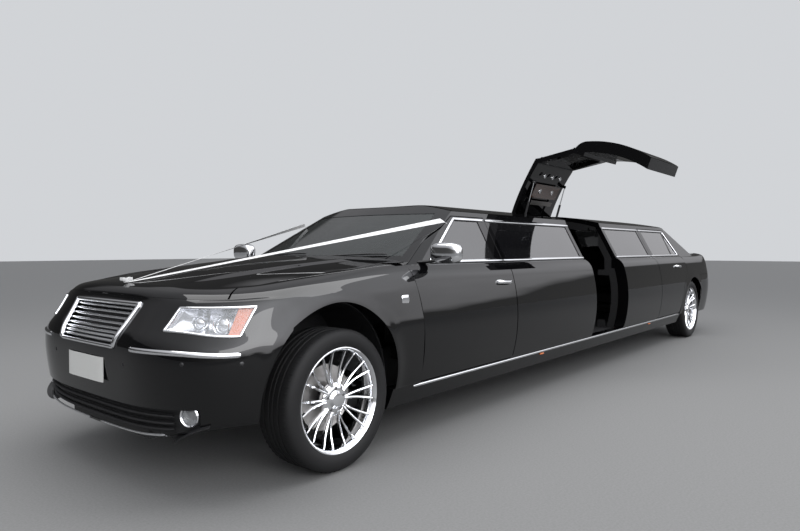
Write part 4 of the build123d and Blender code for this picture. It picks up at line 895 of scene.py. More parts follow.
quarter_cap = rows_patch(rear, rear_x(LAMP_X - 0.002, cap_rows, 4, 12), lid_side(cap_rows), cap_rows, 40)
panels("quarter caps", [quarter_cap], "body", "body_paint", lacquer, thick=WALL)
lamp_grid = rows_patch(rear, rear_x(LAMP_X, lamp_rows, 4, 12), lid_side(lamp_rows), lamp_rows, 50)
panels("tail lamp lenses", [lamp_grid], "body", "lamp_red", red, replaces=("tail_lamps",), thick=WALL)
gutter_u = steps(30, *(float(rear_x(x, np.array([TOP_V]), 4, 12)[0]) for x in (-0.40, -0.99)))
gutter_edge = rear.at(gutter_u, TOP_V) - (0, 0, 0.005)
gutter = np.stack([gutter_edge + (0, 0.01, 0), gutter_edge * (1, 0, 1) + (0, 0.6985, -0.006)], 1)
panels("boot gutter", [gutter], "body", "body_paint", lacquer, thick=0.002)

# %% [markdown]
# Below the lamps and the lid, one moulding closes the tail. It is a single patch on each side, from
# the quarter's edge to the centre plane, where both halves' points are merged.

# %% Rear bumper skin
tail_v = steps(26, 0.0, 2.97)
tail_grid = rows_patch(rear, rear_x(BUMPER_X - 0.006, tail_v, 3, 8), 0 * tail_v + 13, tail_v, 120)
panels("rear bumper skin", [tail_grid], "body", "body_paint", lacquer, replaces=("rear_bumper",), thick=WALL)

# %% [markdown]
# The rear pillar is a leaning plane whose back edge is cut by the bowed rear screen. Screen and side
# are both simple functions, so the pillar's edge is found by putting one into the other.

# %% Rear pillars
RAKE = math.tan(math.radians(27))
SCREEN_FOOT_Z = 1.06
REAR_BOW = 0.15
LEAN_IN, LEAN_UP = 0.173, 0.319


def screen_x(y, z):
    """The rear screen's surface: x = x0 + 0.15 y^2 + (z - 1.06) / tan(27 degrees)."""
    return REAR_AXLE - 0.400 + REAR_BOW * y ** 2 + (z - SCREEN_FOOT_Z) / RAKE - 0.002


def wall_y(z):
    """The glasshouse side, leaning inward by 0.173 in 0.319 from the belt to the roof rail."""
    return BELT_HALF + PROUD - (z - BELT_Z) * (LEAN_IN / LEAN_UP)


def upright(x, y, z):
    """A grid [column, row, xyz] from grids or lines that have one row for each z."""
    x, y, z = np.broadcast_arrays(x, y, z[:, None])
    return np.stack([x, y, z], -1).swapaxes(0, 1)


pillar_z = steps(30, 1.040, 1.366)
pillar_front = REAR_AXLE + np.interp(pillar_z, [1.043, 1.362], [.245, .385]) - 0.010
pillar_rear = screen_x(wall_y(pillar_z), pillar_z)
pillar_x = between(pillar_front, np.minimum(pillar_rear, pillar_front - 0.002), 20)
side_face = upright(pillar_x, wall_y(pillar_z)[:, None], pillar_z)
back_z = steps(24, 1.112, 1.366)
back_y = between(wall_y(back_z), np.interp(back_z, [1.128, 1.384], [.642, .542]), 12)
back_face = upright(screen_x(back_y, back_z[:, None]), back_y, back_z)
panels("rear pillar skins", [side_face, back_face], "body", "body_paint", lacquer, thick=0.003)

# %% [markdown]
# The deck between screen and boot lid is crowned across the car and falls off at its sides. It is a
# height over the plan, so each point's z comes from its y.

# %% Rear deck
CROWN_FALL = 0.028
deck_y = steps(30, 0, 0.83)
deck_z = 1.1125 - CROWN_FALL * (deck_y / 0.7) ** 2 - 0.35 * np.maximum(deck_y - 0.70, 0)
deck_back = np.where(deck_y < LID_HALF, -0.424, -0.46) + REAR_AXLE
deck_x = between(deck_back, screen_x(deck_y, deck_z) + 0.03, 14)
deck_face = np.stack([deck_x, np.broadcast_to(deck_y[:, None], deck_x.shape),
                      deck_z[:, None] + 0.012 * (deck_x - deck_back[:, None])], -1)[:, ::-1]
panels("rear deck skin", [deck_face], "body", "body_paint", lacquer, sides="joined", thick=0.003)

# %% [markdown]
# The boot lid carries the deck's crown on and turns down over the tail. One outline in the centre
# plane is swept sideways, with its edge dropping and bowing forward as it nears the lid's side.

# %% Boot lid
LID_LINE = np.array([(-.436, 1.112), (-.60, 1.109), (-.80, 1.102), (-.96, 1.092), (-1.045, 1.080),
                     (-1.082, 1.055), (-1.096, 1.005), (-1.107, .94), (-1.118, .87), (-1.130, .803)])
LID_BOW = 0.062
EDGE_DROP = 0.022
lid_w = np.array([0, .05, .2, .5, .8, 1, 1, 1, 1, 1])
lid_y = np.array([0, .25, .45, .60, .697])
bulge = (lid_y[:, None] / 0.7) ** 2
flat_share = 1 - lid_w * np.clip((1.09 - LID_LINE[:, 1]) / .09, 0, 1)
lid_table = np.stack([REAR_AXLE + LID_LINE[:, 0] + LID_BOW * bulge * lid_w,
                      np.broadcast_to(lid_y[:, None], (len(lid_y), len(LID_LINE))),
                      LID_LINE[:, 1] - (CROWN_FALL * bulge + EDGE_DROP * bulge ** 7) * flat_share], -1)
lid = Sheet(lid_table, "first")
panels("boot lid skin", [lid.at(steps(30, 0, 4)[:, None], steps(80, 0, 9)[None, :])], "boot_lid",
       "body_paint", lacquer, sides="joined", replaces=("boot_lid",), thick=WALL)

# %% [markdown]
# The roof is the lower of a crown across the car and an arc along it, with the ridge between them
# rounded: z = (a + b) / 2 - sqrt(((a - b) / 2)^2 + d^2), lifted by a low swell so it stays outside the
# solid roof. It ends at both screens and leaves the roof-hinged door its own piece.

# %% Roof skins
ROOF_HALF = 0.643
ROOF_TOP, CROWN_DROP, CROWN_HALF, CROWN_POWER = 1.48, 0.08, 0.645, 1.95
FRONT_RAKE = math.tan(math.radians(26.5))
FRONT_BOW = 0.42
ARC_FRONT_END, ARC_REAR_END = FRONT_AXLE - 2.0, -1.4405
RIDGE = 0.004


def roof_height(y):
    """Height of the crown: z = 1.48 - 0.08 (|y| / 0.645)^1.95."""
    return ROOF_TOP - CROWN_DROP * (np.abs(y) / CROWN_HALF) ** CROWN_POWER


def roof_z(x, y):
    """Height of the roof skin: (a + b) / 2 - sqrt(((a - b) / 2)^2 + d^2), and the swell on the ridge."""
    front_arc = circle_y(np.clip(x, ARC_FRONT_END, None), (1.330, FRONT_AXLE - 0.505),
                         (1.419, FRONT_AXLE - 1.06), (ROOF_TOP, ARC_FRONT_END))
    rear_arc = circle_y(np.clip(x, None, ARC_REAR_END), (ROOF_TOP, ARC_REAR_END), (1.440, -2.4905),
                        (1.280, -3.4445))
    a, b = roof_height(y), np.minimum(front_arc, rear_arc)
    rounded = (a + b) / 2 - np.sqrt(((a - b) / 2) ** 2 + RIDGE ** 2)
    return rounded + RIDGE * np.exp(-((a - b) / 0.03) ** 2) + PROUD


def roof_grid(x_rear, x_front, y, columns):
    """Points [column, row] between two lines across the car."""
    x = between(np.broadcast_to(x_rear, len(y)), np.broadcast_to(x_front, len(y)), columns).T
    return np.stack([x, np.broadcast_to(y, x.shape), roof_z(x, np.broadcast_to(y, x.shape))], -1)


full_y = steps(61, -ROOF_HALF, ROOF_HALF)
fixed_y = steps(30, -ROOF_HALF, JET_AXIS[0] - 0.003)
lifting_y = steps(24, JET_AXIS[0] + 0.008, ROOF_HALF)
header_x, end_x = 0 * full_y + FRONT_AXLE - 1.25, 0 * full_y + REAR_AXLE + 0.27
for _ in range(8):
    header_x = (FRONT_AXLE - 0.513 - FRONT_BOW * full_y ** 2
                - (roof_z(header_x, full_y) - SCREEN_FOOT_Z) / FRONT_RAKE)
    end_x = screen_x(full_y, roof_z(end_x, full_y)) + 0.010
panels("roof skin", [roof_grid(JET_FRONT + JET_GAP, header_x, full_y, 60),
                     roof_grid(JET_REAR - JET_GAP, JET_FRONT + JET_GAP, fixed_y, 12),
                     roof_grid(end_x, JET_REAR - JET_GAP, full_y, 60)],
       "body", "body_paint", lacquer, sides="left")
panels("roof-hinged door roof skin", [roof_grid(JET_REAR + JET_GAP, JET_FRONT - JET_GAP, lifting_y, 12)],
       "jet_door", "body_paint", lacquer, sides="left", turn=opened)

# %% [markdown]
# Trim that lies on a sheet is drawn in the sheet's own two numbers, so it follows every curve of the
# nose. Round things are profiles turned about an axis.

# %% Drawing on a sheet


def lifted(sheet, u, v, lift=0.0):
    """Points S + h n and normals n = dS/du x dS/dv; a negative u means the car's other side."""
    u, v = np.broadcast_arrays(np.asarray(u, float), np.asarray(v, float))
    e = 1e-3
    side = np.abs(u)
    flip = np.stack([np.ones(u.shape), np.where(u < 0, -1.0, 1.0), np.ones(u.shape)], -1)
    low = np.maximum(side - e, 0)
    normal = np.cross(sheet.at(side + e, v) - sheet.at(low, v), sheet.at(side, v + e) - sheet.at(side, v - e))
    normal /= np.linalg.norm(normal, axis=-1, keepdims=True)
    return (sheet.at(side, v) + lift * normal) * flip, normal * flip


def trim_bar(sheet, u, v, half_wide, half_out, lift=0.0, sides=12):
    """A bar laid along a line of (u, v) points."""
    path, out = lifted(sheet, u, v, lift)
    along = np.gradient(path, axis=0)
    along /= np.linalg.norm(along, axis=1, keepdims=True)
    return bar_grid(path, np.cross(out, along), out, half_wide, half_out, sides)


def turned_grid(profile, centre, axis, count=48):
    """A profile of (r, h) turned about an axis: centre + r (cos w side + sin w across) + h axis."""
    profile = np.array(profile, float)
    axis = np.array(axis, float) / np.linalg.norm(axis)
    side = np.cross(axis, (0, 0, 1.0) if abs(axis[2]) < 0.9 else (1.0, 0, 0))
    side /= np.linalg.norm(side)
    angle = np.arange(count) * 2 * np.pi / count
    ring = np.cos(angle)[:, None] * side + np.sin(angle)[:, None] * np.cross(axis, side)
    return np.array(centre) + profile[:, :1, None] * ring[None] + profile[:, 1:, None] * axis


def loop(sheet_line, count):
    """The corners of a closed line in (u, v), with `count` steps a + t (b - a) on every side."""
    corners = np.array(list(sheet_line) + [sheet_line[0]], float)
    t = steps(count + 1)[:-1, None]
    return np.concatenate([a + t * (b - a) for a, b in zip(corners[:-1], corners[1:])] + [corners[:1]])


print("lift of 10 mm measured:", np.linalg.norm(lifted(front, 1, 5, 0.010)[0] - front.at(1, 5)).round(4))

# %% [markdown]
# The grille is a bright frame, wider at the top, with thin bars across and darkness behind. Frame and
# bars are lines on the front sheet; the bars lie a little deeper, and a dark sheet closes the back.

# %% Grille
GRILLE_LOW, GRILLE_HIGH = 2.12, 4.03
edge_v = steps(24, GRILLE_LOW, GRILLE_HIGH)
edge_u = grille_edge(edge_v) - 0.05
across = steps(31, -1, 1)
frame_u = np.concatenate([-edge_u, edge_u[-1] * across[1:-1], edge_u[::-1]])
frame_v = np.concatenate([edge_v, 0 * across[1:-1] + edge_v[-1], edge_v[::-1]])
frame_bar = trim_bar(front, frame_u, frame_v, 0.013, 0.012, 0.002)
foot_bar = trim_bar(front, edge_u[0] * across, 0 * across + edge_v[0], 0.010, 0.010, 0.0)
BAR_COUNT = 8
blade_v = steps(BAR_COUNT + 2, GRILLE_LOW, GRILLE_HIGH)[1:-1]
blades = [trim_bar(front, u * across, 0 * across + v, 0.0075, 0.010, -0.014)
          for u, v in zip(np.interp(blade_v, edge_v, edge_u), blade_v)]
bars("grille", [frame_bar, foot_bar] + blades, "body", "chrome", chrome, sides="left", replaces=("grille",))

back_v = steps(12, 1.9, 4.1)
back = lifted(front, 1.75 * steps(30)[:, None], back_v[None, :], -0.045)[0]
panels("grille back", [back], "body", "black_plastic", black_plastic, sides="joined", thick=0.003)

# %% [markdown]
# The lower intake is a dark recess with three slats. Each fog lamp is two turned profiles: a bright
# rim and a clear lens, facing forward and a little outward.

# %% Lower intake and fog lamps
intake = lifted(front, 3.9 * steps(50)[:, None], steps(12, 0.08, 1.08)[None, :], -0.035)[0]
panels("intake back", [intake], "body", "black_plastic", black_plastic, sides="joined", thick=0.003)
slats = [trim_bar(front, 2.75 * across, 0 * across + v, 0.006, 0.012, -0.018) for v in (0.42, 0.60, 0.78)]
bars("intake slats", slats, "body", "black_plastic", black_plastic, sides="left")
FOG_RIM = [(.040, -.012), (.046, -.004), (.050, .004), (.046, .009), (.041, .004), (.040, -.012)]
FOG_LENS = [(0, .010), (.02, .008), (.036, .002), (.0405, -.006), (.02, -.03), (0, -.034)]
FOG_AXIS = (0.93, 0.32, 0.0)
fog_at = lifted(front, 3.22, 0.80, -0.012)[0]
bars("fog lamp rims", [turned_grid(FOG_RIM, fog_at, FOG_AXIS)], "body", "chrome", chrome)
bars("fog lamp lenses", [turned_grid(FOG_LENS, fog_at, FOG_AXIS)], "body", "lamp_glass", lens)

# %% [markdown]
# A bright strip runs along the bumper's crest and another along its lip. The small round sensors
# beside them are black buttons that stand out by a few millimetres.

# %% Bumper strips and sensors
SENSOR = [(0, .0045), (.007, .004), (.010, .002), (.011, -.003), (0, -.004)]
SENSOR_UV = ((1.35, 1.72), (3.15, 1.86), (4.75, 1.86))
strip_u = steps(50, 1.62, 4.72)
bars("bumper strips", [trim_bar(front, strip_u, 2.14 + 0 * strip_u, 0.012, 0.007, 0.001),
                       trim_bar(front, steps(40, 0.2, 2.55), 0.205 + 0 * steps(40), 0.006, 0.005, 0.002)],
     "body", "chrome", chrome)

sensors = [turned_grid(SENSOR, *lifted(front, u, v, -0.002), count=24) for u, v in SENSOR_UV]
bars("parking sensors", sensors, "body", "black_plastic", black_plastic)

# %% [markdown]
# A headlamp is a clear lens in the body's own surface, a mirror bowl behind it, and two projectors
# in the bowl. The bowl is the same patch of the sheet, sunk by d (sin(pi s) sin(pi t))^0.4, so it
# meets the lens all round. A bright bar follows the lens's edge.

# %% Headlamps
BOWL_DEPTH = 0.085
lens_v = steps(26, 3.02, 3.98)
lamp_in, lamp_out = lamp_edges(lens_v)
lens_grid = rows_patch(front, lamp_in, lamp_out, lens_v, 60)
panels("headlamp lenses", [lens_grid], "body", "lamp_glass", lens, replaces=("headlamps",), thick=0.003)
s, t = steps(60)[:, None], steps(26)[None, :]
depth = BOWL_DEPTH * (np.sin(np.pi * s) * np.sin(np.pi * t)) ** 0.4
bowl_u = between(lamp_in, lamp_out, 60).T
bowl = lifted(front, bowl_u, np.broadcast_to(lens_v, bowl_u.shape), 0)
panels("headlamp housings", [bowl[0] - (depth + WALL)[..., None] * bowl[1]], "body", "chrome", reflector,
       thick=0.002)
rim = loop([(2.47, 3.03), (4.65, 3.03), (4.89, 3.97), (2.73, 3.97)], 24)
bars("headlamp surrounds", [trim_bar(front, rim[:, 0], rim[:, 1], 0.0065, 0.006, 0.001)], "body",
     "chrome", chrome)

# %% [markdown]
# Behind the lens's outer end lies an amber reflector. A projector is a ring and a round lens, both
# turned about an axis that points forward, with every radius taken from the lamp's own.

# %% Reflectors and projectors
amber_v = steps(14, 3.09, 3.92)
amber_u = between(4.30 + .10 * (amber_v - 3), lamp_edges(amber_v)[1] - .05, 16).T
panels("side reflectors", [lifted(front, amber_u, amber_v[None, :], -0.006)[0]], "body", "lamp_glass",
       amber, thick=0.003)
forward = (0.95, 0.30, 0.02)
projectors = []
for u, v, radius in ((3.95, 3.47, 0.040), (3.22, 3.50, 0.032)):
    middle = lifted(front, u, v, -0.045)[0]
    ring = [(radius * .8, -.03), (radius, -.02), (radius * 1.12, .0), (radius * 1.05, .006),
            (radius * .95, .0), (radius * .8, -.03)]
    glass = [(0, .008), (radius * .5, .005), (radius * .85, -.006), (radius * .6, -.03), (0, -.032)]
    projectors += [turned_grid(ring, middle, forward), turned_grid(glass, middle, forward)]
bars("headlamp projectors", projectors, "body", "chrome", chrome)

# %% [markdown]
# Each wheel is a polished rim with ten pairs of thin spokes and a tyre with grooves round its tread.
# Barrel, hub, tread and brake disc are round, so each is a profile of (radius, distance outward).

# %% Wheel profiles
WHEEL_Y, AXLE_Z = 0.8055, 0.364
BARREL = [(.246, -.1085), (.250, -.112), (.272, -.112), (.274, -.106), (.266, -.098), (.262, -.06),
          (.255, .02), (.258, .085), (.266, .096), (.274, .104), (.273, .1115), (.268, .1125),
          (.262, .108), (.252, .095), (.246, .070), (.243, .02), (.245, -.06), (.246, -.10),
          (.246, -.1085)]
HUB = [(0, .030), (.078, .030), (.086, .045), (.084, .062), (.070, .070), (.046, .072), (.040, .078),
       (.034, .086), (.020, .089), (0, .090)]
TREAD = [(.2725, -.100), (.276, -.112), (.290, -.1195), (.310, -.1225), (.330, -.1205), (.346, -.115),
         (.357, -.105), (.3625, -.092), (.364, -.070), (.364, -.058), (.357, -.056), (.357, -.048),
         (.364, -.046), (.364, -.020), (.357, -.018), (.357, -.010), (.364, -.008)]
TREAD += [(radius, -at) for radius, at in TREAD[::-1]]
DISC = [(.060, -.035), (.172, -.035), (.172, -.009), (.060, -.009), (.060, -.035)]
NUT = [(0, -.004), (.0095, -.004), (.0095, .006), (.006, .009), (0, .009)]
print("tyre of", len(TREAD), "points across, radius", max(radius for radius, at in TREAD))

# %% [markdown]
# Spokes, nuts and the blocks on the tyre's shoulder repeat round the wheel. Each is a small bar or a
# turned profile, set at its own angle, so the whole wheel stays within a few thousand points.

# %% Spokes, nuts and shoulder blocks
SPOKE_PAIRS, NUTS, BLOCKS = 10, 5, 72
HUB_REACH, BARREL_REACH = 0.066, 0.252


def spoke_grids():
    """Pairs of bars from hub to barrel; a spoke stands 0.064 + 0.030 t^1.5 - 0.012 sin(pi t) outward."""
    t = steps(12)
    reach = HUB_REACH + (BARREL_REACH - HUB_REACH) * t
    out = 0.064 + 0.030 * t ** 1.5 - 0.012 * np.sin(np.pi * t)
    made = []
    for k in range(SPOKE_PAIRS):
        for lean in (-1, 1):
            angle = np.radians(360 / SPOKE_PAIRS * k + lean * (3.5 + 4.5 * t))
            path = np.stack([reach * np.cos(angle), out, reach * np.sin(angle)], 1)
            sideways = np.stack([-np.sin(angle), 0 * t, np.cos(angle)], 1)
            made.append(bar_grid(path, sideways, (0, 1, 0), 0.0085 - 0.002 * t, 0.011, 8))
    return made


def nut_grids():
    """Dark nuts round the hub, at 0.057 (cos a, sin a)."""
    angle = np.radians(360 / NUTS * np.arange(NUTS) + 18)
    return [turned_grid(NUT, (0.057 * math.cos(a), .066, 0.057 * math.sin(a)), (0, 1, 0), 12) for a in angle]


def shoulder_blocks():
    """Shallow blocks round the tread's shoulder, one ring each side, along rays (cos a, sin a)."""
    angle = np.arange(BLOCKS) * 2 * np.pi / BLOCKS
    made = []
    for face in (-1, 1):
        for a in angle:
            ray = np.array([math.cos(a), 0, math.sin(a)])
            path = np.stack([ray * 0.3615 + (0, face * 0.071, 0), ray * 0.3600 + (0, face * 0.094, 0),
                             ray * 0.352 + (0, face * 0.108, 0)])
            made.append(bar_grid(path, np.cross(ray, (0, 1, 0)), ray, 0.009, 0.004, 6))
    return made


print(len(spoke_grids()), "spokes to a wheel")

# %% [markdown]
# One wheel is built about its own axis and carried to each corner. It is mirrored for the right side,
# so that the spokes always face outward, and it rides on that wheel's body, which steers and rolls.

# %% Four wheels
WHEEL_AXIS = (0, 1, 0)
metal = [turned_grid(profile, (0, 0, 0), WHEEL_AXIS, 96) for profile in (BARREL, HUB)] + spoke_grids()
tyre = [turned_grid(TREAD, (0, 0, 0), WHEEL_AXIS, 120)] + shoulder_blocks()
nuts = nut_grids()
disc = [turned_grid(DISC, (0, 0, 0), WHEEL_AXIS, 64)]
for end, axle_x in (("front", FRONT_AXLE), ("rear", REAR_AXLE)):
    centre = np.array([axle_x, WHEEL_Y, AXLE_Z])
    carried = [[grid + centre for grid in grids] for grids in (metal, tyre, nuts, disc)]
    for hand in ("left", "right"):
        corner = f"{end}_{hand}"
        body = f"wheel_{corner}"
        bars(f"rim {corner} polished", carried[0], body, "casting", chrome, sides=hand,
             replaces=(f"rim_{corner}",))
        bars(f"tyre {corner} moulded", carried[1], body, "tyre_rubber", rubber, sides=hand,
             replaces=(f"tyre_{corner}",))
        bars(f"wheel nuts {corner}", carried[2], body, "casting", casting, sides=hand)
        bars(f"brake disc {corner}", carried[3], body, "casting", steel, sides=hand)

# %% [markdown]
# Bright strips frame the windows. Each strip is a path on the leaning glasshouse side, and it rides on
# the door or the body it is fixed to.

# %% Window surrounds
SIDE_OUT = np.array([0, LEAN_UP, LEAN_IN]) / math.hypot(LEAN_UP, LEAN_IN)
LOW_Z, TOP_Z = 1.056, 1.347
STRIP_LIFT, STRIP_GAP = 0.0015, 0.010


def side_strip(points):
    """A bright strip along a line of (x, z) corners drawn on the glasshouse side, y = wall(z)."""
    corners = np.array(points, float)
    legs = [a + steps(24)[:, None] * (b - a) for a, b in zip(corners[:-1], corners[1:])]
    line = np.concatenate([legs[0]] + [leg[1:] for leg in legs[1:]])
    path = np.stack([line[:, 0], wall_y(line[:, 1]), line[:, 1]], 1) + STRIP_LIFT * SIDE_OUT
    along = np.gradient(path, axis=0)
    along /= np.linalg.norm(along, axis=1, keepdims=True)
    return bar_grid(path, np.cross(SIDE_OUT, along), SIDE_OUT, 0.011, 0.005)


def strip_pair(x_front, x_rear):
    """Two level strips, below and above a window."""
    return [side_strip([(x_front, z), (x_rear, z)]) for z in (LOW_Z, TOP_Z)]


pane_front, pane_top = FRONT_AXLE - 0.605 - 0.262, FRONT_AXLE - 0.605 - 0.742
front_frame = [(B_SEAM + 0.006, LOW_Z), (pane_front, LOW_Z), (pane_top, TOP_Z), (B_SEAM + 0.006, TOP_Z)]
rear_frame = [(REAR_SEAM - 0.006, LOW_Z), (REAR_AXLE + 0.286, LOW_Z), (REAR_AXLE + 0.428, TOP_Z),
              (REAR_SEAM - 0.006, TOP_Z)]
stretch_strips = {"left": (strip_pair(B_SEAM - STRIP_GAP, JET_FRONT + STRIP_GAP)
                           + strip_pair(JET_REAR - STRIP_GAP, REAR_SEAM + STRIP_GAP)),
                  "right": strip_pair(B_SEAM - STRIP_GAP, REAR_SEAM + STRIP_GAP)}
for hand in ("left", "right"):
    bars(f"front window surround {hand}", [side_strip(front_frame)], f"front_door_{hand}", "chrome",
         chrome, sides=hand)
    bars(f"rear window surround {hand}", [side_strip(rear_frame)], f"rear_door_{hand}", "chrome", chrome,
         sides=hand)
    bars(f"stretch window strips {hand}", stretch_strips[hand], "body", "chrome", chrome, sides=hand)
bars("roof-hinged door strips", strip_pair(JET_FRONT - STRIP_GAP, JET_REAR + STRIP_GAP), "jet_door",
     "chrome", chrome, sides="left", turn=opened)

# %% [markdown]
# A bright strip runs along each sill, low on the body, with two amber markers below it. Both are
# straight bars, a few millimetres proud of the panel.

# %% Sill strips and side markers
MARKER_XS = (FRONT_AXLE - 2.23, FRONT_AXLE - 4.78)
sill_x = steps(90, FRONT_AXLE - 0.60, REAR_AXLE + 0.50)
sill_path = np.stack([sill_x, 0 * sill_x + 0.9085, 0 * sill_x + 0.335], 1)
bars("sill strips", [bar_grid(sill_path, (0, 0, 1), (0, 1, 0), 0.008, 0.004)], "body", "chrome", chrome)
marker_t = steps(9, -1, 1)[:, None]
markers = [bar_grid(np.array([x, 0.905, 0.315]) + marker_t * (0.03, 0, 0), (0, 0, 1), (0, 1, 0), 0.007, 0.006)
           for x in MARKER_XS]
bars("side markers", markers, "body", None, amber)

# %% [markdown]
# A pull handle is a bar that stands off the door in the middle and comes back to it at both ends. A
# sixth power keeps the middle straight and turns the ends in quickly.

# %% Handles


def handle(x, z):
    """A pull handle over t = -1..1: y = side - 0.003 + 0.030 (1 - t^6)."""
    t = steps(31, -1, 1)
    height = z + 0.004 * t
    path = np.stack([x + 0.092 * t, section(height) - 0.003 + 0.030 * (1 - t ** 6), height], 1)
    return bar_grid(path, (0, 0, 1), (0, 1, 0), 0.0125, 0.007)


for hand in ("left", "right"):
    bars(f"front handle {hand}", [handle(FRONT_AXLE - 1.60, 0.905)], f"front_door_{hand}", "chrome",
         chrome, sides=hand)
    bars(f"rear handle {hand}", [handle(FRONT_AXLE - 5.74, 0.925)], f"rear_door_{hand}", "chrome", chrome,
         sides=hand)

# %% [markdown]
# The number plates are blank pale sheets with slightly turned edges, x = 0.006 (1 - t^8), and a
# plain bright plate sits behind each front wheel. Only half of a number plate is worked out; it is
# joined across the centre plane.

# %% Number plates and fender plates
PLATE_HALF, PLATE_HIGH = 0.186, 0.120
plate_u, plate_v = steps(24, -1, 1)[:, None], steps(8)[None, :]
plate = np.stack([0.006 * (1 - plate_u ** 8) + 0 * plate_v, PLATE_HALF * plate_u + 0 * plate_v,
                  PLATE_HIGH * plate_v + 0 * plate_u], -1)
panels("front number plate", [(plate + (FRONT_AXLE + 0.868, 0, 0.500))[12:]], "body", None, plate_white,
       sides="joined", thick=0.003)
panels("rear number plate", [(plate * (-1, 1, 1) + (REAR_AXLE - 1.139, 0, 0.830))[12:, ::-1]], "boot_lid",
       None, plate_white, sides="joined", thick=0.003)
t = steps(13, -1, 1)
fender_plate_z = 0.849 + 0 * t
fender_plate = np.stack([FRONT_AXLE - 0.487 + 0.032 * t, section(fender_plate_z) + 0.001, fender_plate_z], 1)
bars("fender plates", [bar_grid(fender_plate, (0, 0, 1), (0, 1, 0), 0.027, 0.004)], "body", "chrome", chrome)

# %% [markdown]
# A mirror's cap is a box with very round edges. A superellipsoid makes that in one formula: with the
# power 1 it is an ellipsoid, and the nearer the power is to 0, the boxier it gets. Its rear face is
# cut flat by holding back every point that lies behind a plane.

# %% Mirrors


def superellipsoid(low, high, power, count=64):
    """x = a |cos p|^e |cos q|^e, y = b |cos p|^e |sin q|^e, z = c |sin p|^e, signs kept."""
    low, high = np.array(low, float), np.array(high, float)
    p = steps(count // 2 + 1, -np.pi / 2, np.pi / 2)[:, None]
    q = (np.arange(count) * 2 * np.pi / count)[None, :]
    raised = [np.sign(f) * np.abs(f) ** power for f in (np.cos(p), np.cos(q), np.sin(q), np.sin(p))]
    unit = np.stack([raised[0] * raised[1], raised[0] * raised[2], raised[3] + 0 * q], -1)
    return unit, (low + high) / 2, (high - low) / 2


unit, centre, half = superellipsoid((FRONT_AXLE - .866, .884, 1.047), (FRONT_AXLE - .764, 1.094, 1.175), 0.62)
cap = centre + unit * half
cap[..., 0] = np.maximum(cap[..., 0], FRONT_AXLE - .853)
foot_t = steps(14)
foot = np.stack([0 * foot_t + FRONT_AXLE - .80, .795 + .14 * foot_t, 1.056 + .012 * foot_t ** 2], 1)
for hand in ("left", "right"):
    bars(f"mirror cap {hand}", [cap], f"front_door_{hand}", "chrome", chrome, sides=hand,
         replaces=(f"mirror_{hand}",))
    bars(f"mirror foot {hand}", [bar_grid(foot, (1, 0, 0), (0, 0, 1), .038, .010)], f"front_door_{hand}",
         "black_plastic", black_plastic, sides=hand)

# %% [markdown]
# The wipers lie along the windscreen's foot and rise towards their tips. They are drawn on the same
# leaning, bowed surface as the glass, and lifted off it by the thickness of an arm.

# %% Wipers
WIPER_LIFT = 0.012


def on_screen(y, rise):
    """A point above the windscreen: x = foot - 0.42 y^2 - rise, z = 1.06 + rise tan(26.5 degrees)."""
    return np.stack([FRONT_AXLE - 0.505 - FRONT_BOW * y ** 2 - rise + 0.45 * WIPER_LIFT, y,
                     SCREEN_FOOT_Z + rise * FRONT_RAKE + 0.89 * WIPER_LIFT], -1)


t = steps(24)
wiper_paths = [on_screen(root + (tip - root) * t, 0.015 + 0.055 * np.sin(np.pi * t / 2))
               for root, tip in ((0.10, 0.60), (-0.52, 0.02))]
wipers = [bar_grid(path, (0.8, 0, 0.4), (-0.45, 0, 0.89), 0.006, 0.005) for path in wiper_paths]
bars("wipers", wipers, "body", "black_plastic", black_plastic, sides="left")

# %% [markdown]
# The white ribbons are cloth bands pulled straight from the knot on the bonnet to the screen pillars
# and down over them. The band turns from lying flat to facing outward. A tight band hangs in no
# curve, so a straight line between two points is its true shape, and its length is read from that.

# %% Ribbons
KNOT = np.array([FRONT_AXLE + 0.655, 0, 0.962])
PULL = np.array([FRONT_AXLE - 1.190, 0.690, 1.3285])
DOWN = np.array([FRONT_AXLE - 1.206, 0.703, 1.314])
BAND = 0.042


def band(side):
    """A flat band: P(t) = knot + t (pull - knot), then on to the pillar's far side; its width runs
    along (1 - t^2) a + t^2 b, and it narrows towards the knot."""
    t = steps(90)[:, None]
    over = steps(14)[1:, None]
    line = np.concatenate([KNOT + t * (PULL - KNOT), PULL + over * (DOWN - PULL)])
    turn = np.concatenate([t, 1 + 0 * over]) ** 2
    across = (1 - turn) * np.array([0.32, -0.94, 0.02]) + turn * np.array([0.55, -0.50, 0.55])
    across /= np.linalg.norm(across, axis=1, keepdims=True)
    half = BAND / 2 * (0.35 + 0.65 * np.clip(t * 12, 0, 1))
    half = np.concatenate([half, BAND / 2 + 0 * over])
    w = steps(7, -1, 1)[None, :, None]
    grid = line[:, None] + half[:, None] * w * across[:, None] + np.array([0, 0, 0.0015]) * (1 - w ** 2)
    return grid * (1, side, 1)


for side, hand in ((1, "left"), (-1, "right")):
    grid = band(side)
    quads = grid_faces(*grid.shape[:2])
    made = mesh_piece(f"ribbon {hand}", grid.reshape(-1, 3), quads if side < 0 else quads[:, ::-1], None,
                      None, ribbon, thick=0.0008)
    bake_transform(made)

# %% [markdown]
# The knot is four small loops round a tight middle. A loop goes out by r (1 - cos w) / 2 and sways
# by s sin w, which closes on the knot with both ends.

